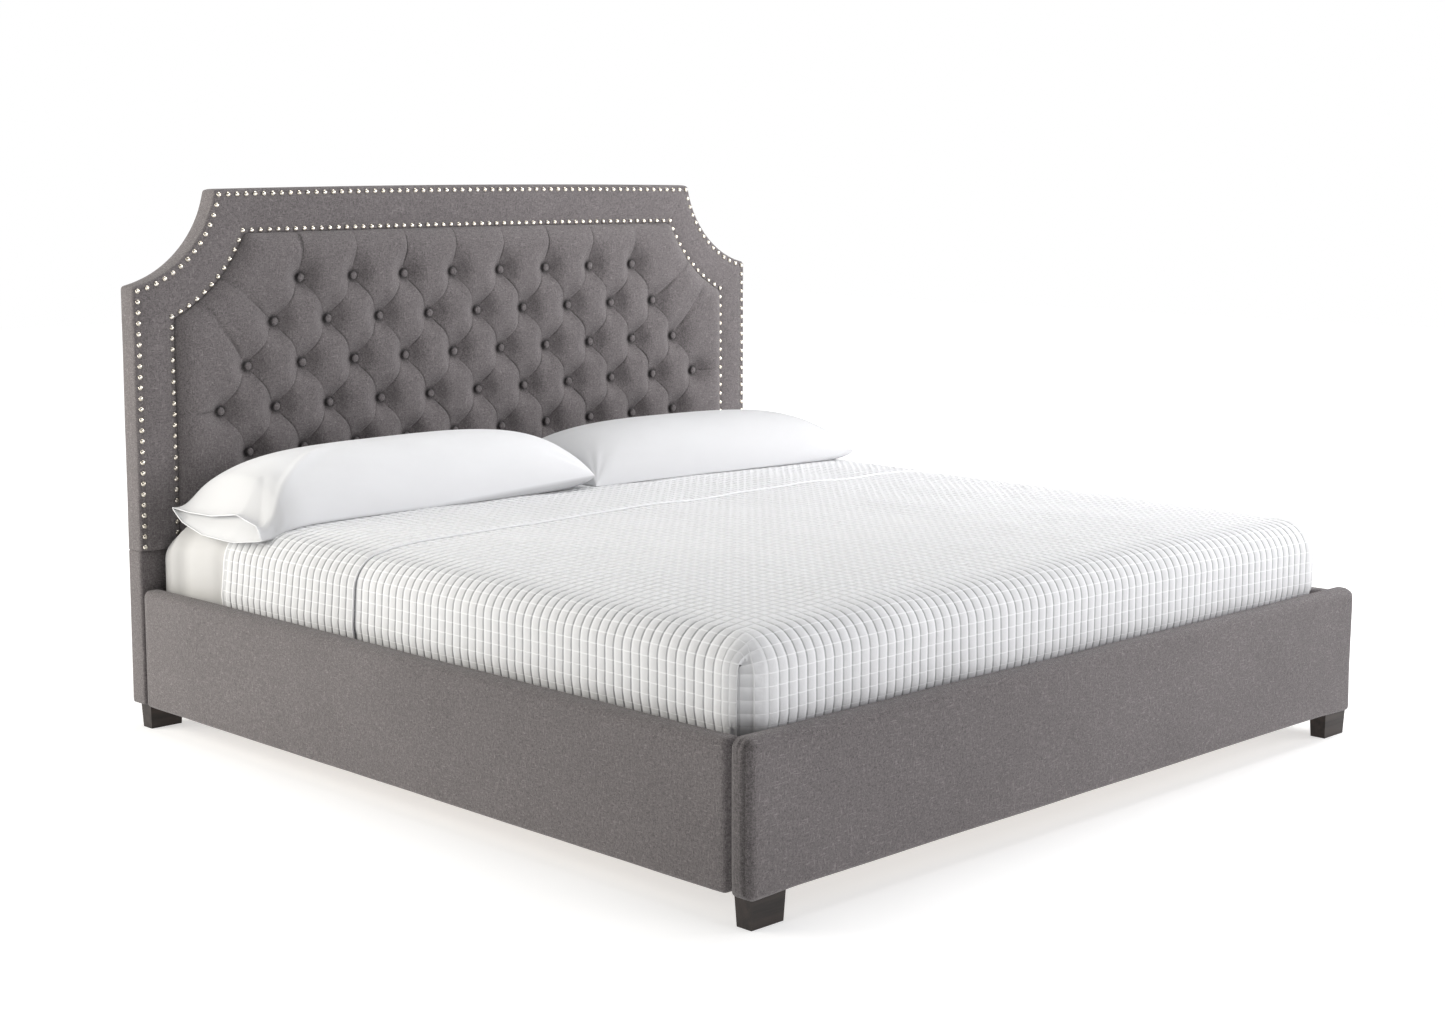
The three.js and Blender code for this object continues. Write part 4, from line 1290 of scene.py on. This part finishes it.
def open_case_end(upper, lower, u, v):
    """Shapes the left end of a case beyond its stuffing: two lips that part in the middle, a dent
    pressed into the upper one near the front, and a slack ridge from its front corner."""
    near = smoothstep(-0.87, -1.0, u)
    near = near + (np.clip((-0.87 - u) / 0.13, 0, 1) - near) * smoothstep(-0.80, -0.97, v)
    front = (1 - v) / 2
    upper_lip = np.interp(
        front, [0, 0.16, 0.41, 0.70, 0.80, 0.94, 1], [0.553, 0.549, 0.551, 0.568, 0.561, 0.553, 0.523]
    )
    lower_lip = np.interp(front, [0, 0.15, 0.40, 0.74, 1], [0.553, 0.526, 0.508, 0.506, 0.521])
    upper[..., 2] = upper[..., 2] * (1 - near) + upper_lip * near
    lower[..., 2] = lower[..., 2] * (1 - near) + lower_lip * near
    hang = near * np.sin(math.pi * np.clip(front, 0, 1)) ** 0.7
    closed = smoothstep(-0.995, -0.960, u) * smoothstep(-0.86, -0.93, u)
    lower[..., 0] -= 0.030 * hang * smoothstep(-0.960, -0.995, u)
    upper[..., 0] -= 0.006 * hang
    towards_lip = np.clip((-0.83 - u) / 0.17, 0, 1)
    ridge, valley = -0.40, -0.40 - 0.47 * towards_lip
    rear_side = (ridge - v) / np.maximum(ridge - valley, 1e-6)
    front_side = (v + 1) / (valley + 1)
    dent = np.clip(np.where(v > valley, rear_side, front_side), 0, 1)
    upper[..., 2] -= 0.030 * dent * towards_lip * (1 - towards_lip**3)
    slack = ((u + 1) * 1.35 - (v + 1)) / 0.075
    fade = smoothstep(-1, -0.93, v) * smoothstep(0.1, -0.5, v)
    upper[..., 2] += 0.0075 * np.exp(-(slack**2)) * fade
    lower[..., 2] += closed * np.maximum(0, upper[..., 2] - 0.004 - lower[..., 2])


def shell(name, upper, lower, owner, darkness=None):
    """A pillow from its upper and lower surfaces, sewn where their edges meet. darkness is given for
    both surfaces."""
    rows, columns = upper.shape[:2]
    points = np.vstack([upper.reshape(-1, 3), lower.reshape(-1, 3)])
    faces = grid_faces(rows, columns).tolist() + grid_faces(rows, columns, rows * columns).tolist()
    # painted shade for both surfaces
    if darkness is not None:
        darkness = np.stack(darkness).reshape(-1)
    piece(name, points, faces, PILLOW_COTTON, owner, darkness, seam=1e-4)


def grid_uv(along_count, across_count):
    """Places over a square from -1 to 1, closer together towards its edges."""
    u = np.sin(np.linspace(-math.pi / 2, math.pi / 2, along_count))
    v = np.sin(np.linspace(-math.pi / 2, math.pi / 2, across_count))
    return np.meshgrid(u, v, indexing="ij")


def right_pillow():
    """The right pillow, stuffed full and closed all round."""
    corners = [(-0.020, 0.500, 0.553), (0.924, 0.460, 0.570)]
    corners += [(0.915, 0.925, 0.560), (-0.012, 0.930, 0.560)]
    u, v = grid_uv(110, 64)
    upper, lower = pillow_surface(corners, 0.144, 0.00, u, v)
    owner = "pillow_right_body", "pillow_cotton", "pillow_right"
    # painted shade, even over the whole case
    shell("pillow_right_case", upper, lower, owner, [np.full_like(u, 0.20)] * 2)


def left_pillow():
    """The left pillow: a stuffed insert in a case whose open end hangs over the bed's edge."""
    right_end = [(-0.034, 0.490, 0.587), (-0.040, 0.905, 0.575)]
    case = [(-1.002, 0.552, 0.523), *right_end, (-0.984, 0.966, 0.553)]
    u, v = grid_uv(150, 72)
    upper, lower = pillow_surface(case, 0.161, 0.01, u, v, (4.2, 0.38))
    open_case_end(upper, lower, u, v)
    # painted shade: on the outside of the open end, and on the whole lower layer, lightest at its lip
    outside = 0.22 * smoothstep(-0.72, -0.90, u)
    inside = 0.10 + 0.30 * smoothstep(-0.990, -0.950, u)
    owner = "pillow_left_body", "pillow_cotton"
    shell("pillow_left_case", upper, lower, (*owner, "pillow_left"), [outside, inside])
    lips = np.vstack([upper[0], lower[0][::-1]])
    cord("pillow_left_hem", lips, 0.0014, PILLOW_COTTON, owner, sides=6)
    insert = [(-0.890, 0.620, 0.556), (-0.060, 0.510, 0.580)]
    insert += [(-0.065, 0.885, 0.575), (-0.890, 0.955, 0.560)]
    u, v = grid_uv(60, 36)
    upper, lower = pillow_surface(insert, 0.122, 0.0, u, v)
    shell("pillow_left_insert", upper, lower + [0, 0, 0.002], owner)


# ---------------------------------------------------------------- carried-over CAD pieces


def dress(node, material, bevel):
    """A CAD piece keeps its shape and gets softened edges and its own material."""
    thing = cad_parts[node]
    thing.data.materials.clear()
    thing.data.materials.append(material)
    edges = thing.modifiers.new("Edges", "BEVEL")
    edges.width = bevel
    edges.segments = 2
    edges.limit_method = "ANGLE"


def grain_axis(node):
    """The axis along a timber's greatest length."""
    low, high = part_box(node)
    size = high - low
    return "XYZ"[max(range(3), key=lambda k: size[k])]


def dress_cad_pieces():
    """Finishes for the CAD pieces that are kept: the frame under the cloth, the legs and metalwork."""
    finishes = [
        ("leg_", LEG_WOOD, 0.0015),
        ("corner_", STEEL, 0.0006),
        ("beam_bracket", STEEL, 0.0006),
        ("levelling_glide", PLASTIC, 0.0010),
        ("headboard_plywood", PLYWOOD, 0.0008),
        ("headboard_back_cover", LINING, 0.0004),
    ]
    timber = ("headboard_stile", "headboard_cross", "footboard_core", "side_rail_core", "slat_")
    timber += ("centre_beam", "centre_leg")
    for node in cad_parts:
        for start, material, bevel in finishes:
            if node.startswith(start):
                dress(node, material, bevel)
        if node.startswith(timber):
            dress(node, PINE[grain_axis(node)], 0.0020)


# ---------------------------------------------------------------- stage


def floor():
    """A floor that reaches far past what the camera sees."""
    side = 14.0
    corners = [(-side, -side, 0), (side, -side, 0), (side, side, 0), (-side, side, 0)]
    ground = mesh_object("floor", corners, [(0, 1, 2, 3)], floor_finish("floor"))
    ground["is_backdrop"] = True


def light(name, place, aim, size, power, tint=(1, 1, 1)):
    """A soft box that the camera doesn't see, turned towards a point."""
    data = bpy.data.lights.new(name, "AREA")
    data.shape = "RECTANGLE"
    data.size, data.size_y = size
    data.energy = power
    data.color = tint
    lamp = bpy.data.objects.new(name, data)
    lamp.location = place
    lamp.rotation_euler = (Vector(aim) - Vector(place)).to_track_quat("-Z", "Y").to_euler()
    lamp.visible_camera = False
    bpy.context.scene.collection.objects.link(lamp)


def studio():
    """A white backdrop that gives little light itself, and five soft boxes: a warm one left of the
    head, one right of the foot, a low one before the foot, one near the headboard and one overhead."""
    world = bpy.data.worlds.new("studio")
    world.use_nodes = True
    nodes, links = world.node_tree.nodes, world.node_tree.links
    sky = nodes["Background"]
    sky.inputs["Color"].default_value = (1, 1, 1, 1)
    seen = nodes.new("ShaderNodeLightPath")
    strength = nodes.new("ShaderNodeMapRange")
    strength.inputs["To Min"].default_value = AMBIENT
    strength.inputs["To Max"].default_value = 1.0
    links.new(seen.outputs["Is Camera Ray"], strength.inputs["Value"])
    links.new(strength.outputs["Result"], sky.inputs["Strength"])
    bpy.context.scene.world = world
    cool = (1.0, 0.99, 1.0)
    light("head_left", (-3.7, 3.0, 1.7), (-1.0, 0.9, 0.4), (3.4, 2.8), 195, (1.0, 0.97, 0.90))
    light("foot_right", (3.7, -3.5, 2.0), (0.6, 0.6, 0.7), (2.4, 2.0), 84, cool)
    light("foot_front", (0.9, -5.2, 1.2), (0.3, -1.0, 0.4), (2.4, 1.6), 68, cool)
    light("headboard_right", (2.6, -0.9, 1.6), (0.9, 1.0, 0.9), (1.2, 1.2), 48, cool)
    light("overhead", (0.3, 0.2, 4.6), (0.0, 0.0, 0.3), (4.0, 4.0), 124)
    bpy.context.scene.view_settings.view_transform = "Standard"


def camera():
    """The photograph's view, from beyond the bed's left foot corner."""
    yaw, pitch = math.radians(44.567), math.radians(6.905)
    data = bpy.data.cameras.new("camera")
    data.lens = 56.07
    data.sensor_width = 36.0
    data.shift_y = -0.0498
    data.clip_end = 100
    thing = bpy.data.objects.new("camera", data)
    thing.location = (-3.8407, -3.8457, 1.3794)
    thing.rotation_euler = (math.pi / 2 - pitch, 0, -yaw)
    bpy.context.scene.collection.objects.link(thing)
    bpy.context.scene.camera = thing


camera()
floor()
studio()
headboard_border()
tufted_panel()
tufting_buttons()
nail_row("nails_outer_row", OUTER_ROW, "nail_row_outer")
nail_row("nails_inner_row", INNER_ROW, "nail_row_inner")
headboard_lower_cover()
footboard()
side_rail("left", -1)
side_rail("right", 1)
mattress()
sheet_cloth = fitted_sheet()
cover_cloth = coverlet()
flap_cloth = turned_back_flap()
hems = flap_hem()
right_pillow()
left_pillow()
dress_cad_pieces()

boxes = {"cad": cad_box, "visual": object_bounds()}
{k: [list(corner) for corner in box] for k, box in boxes.items()}
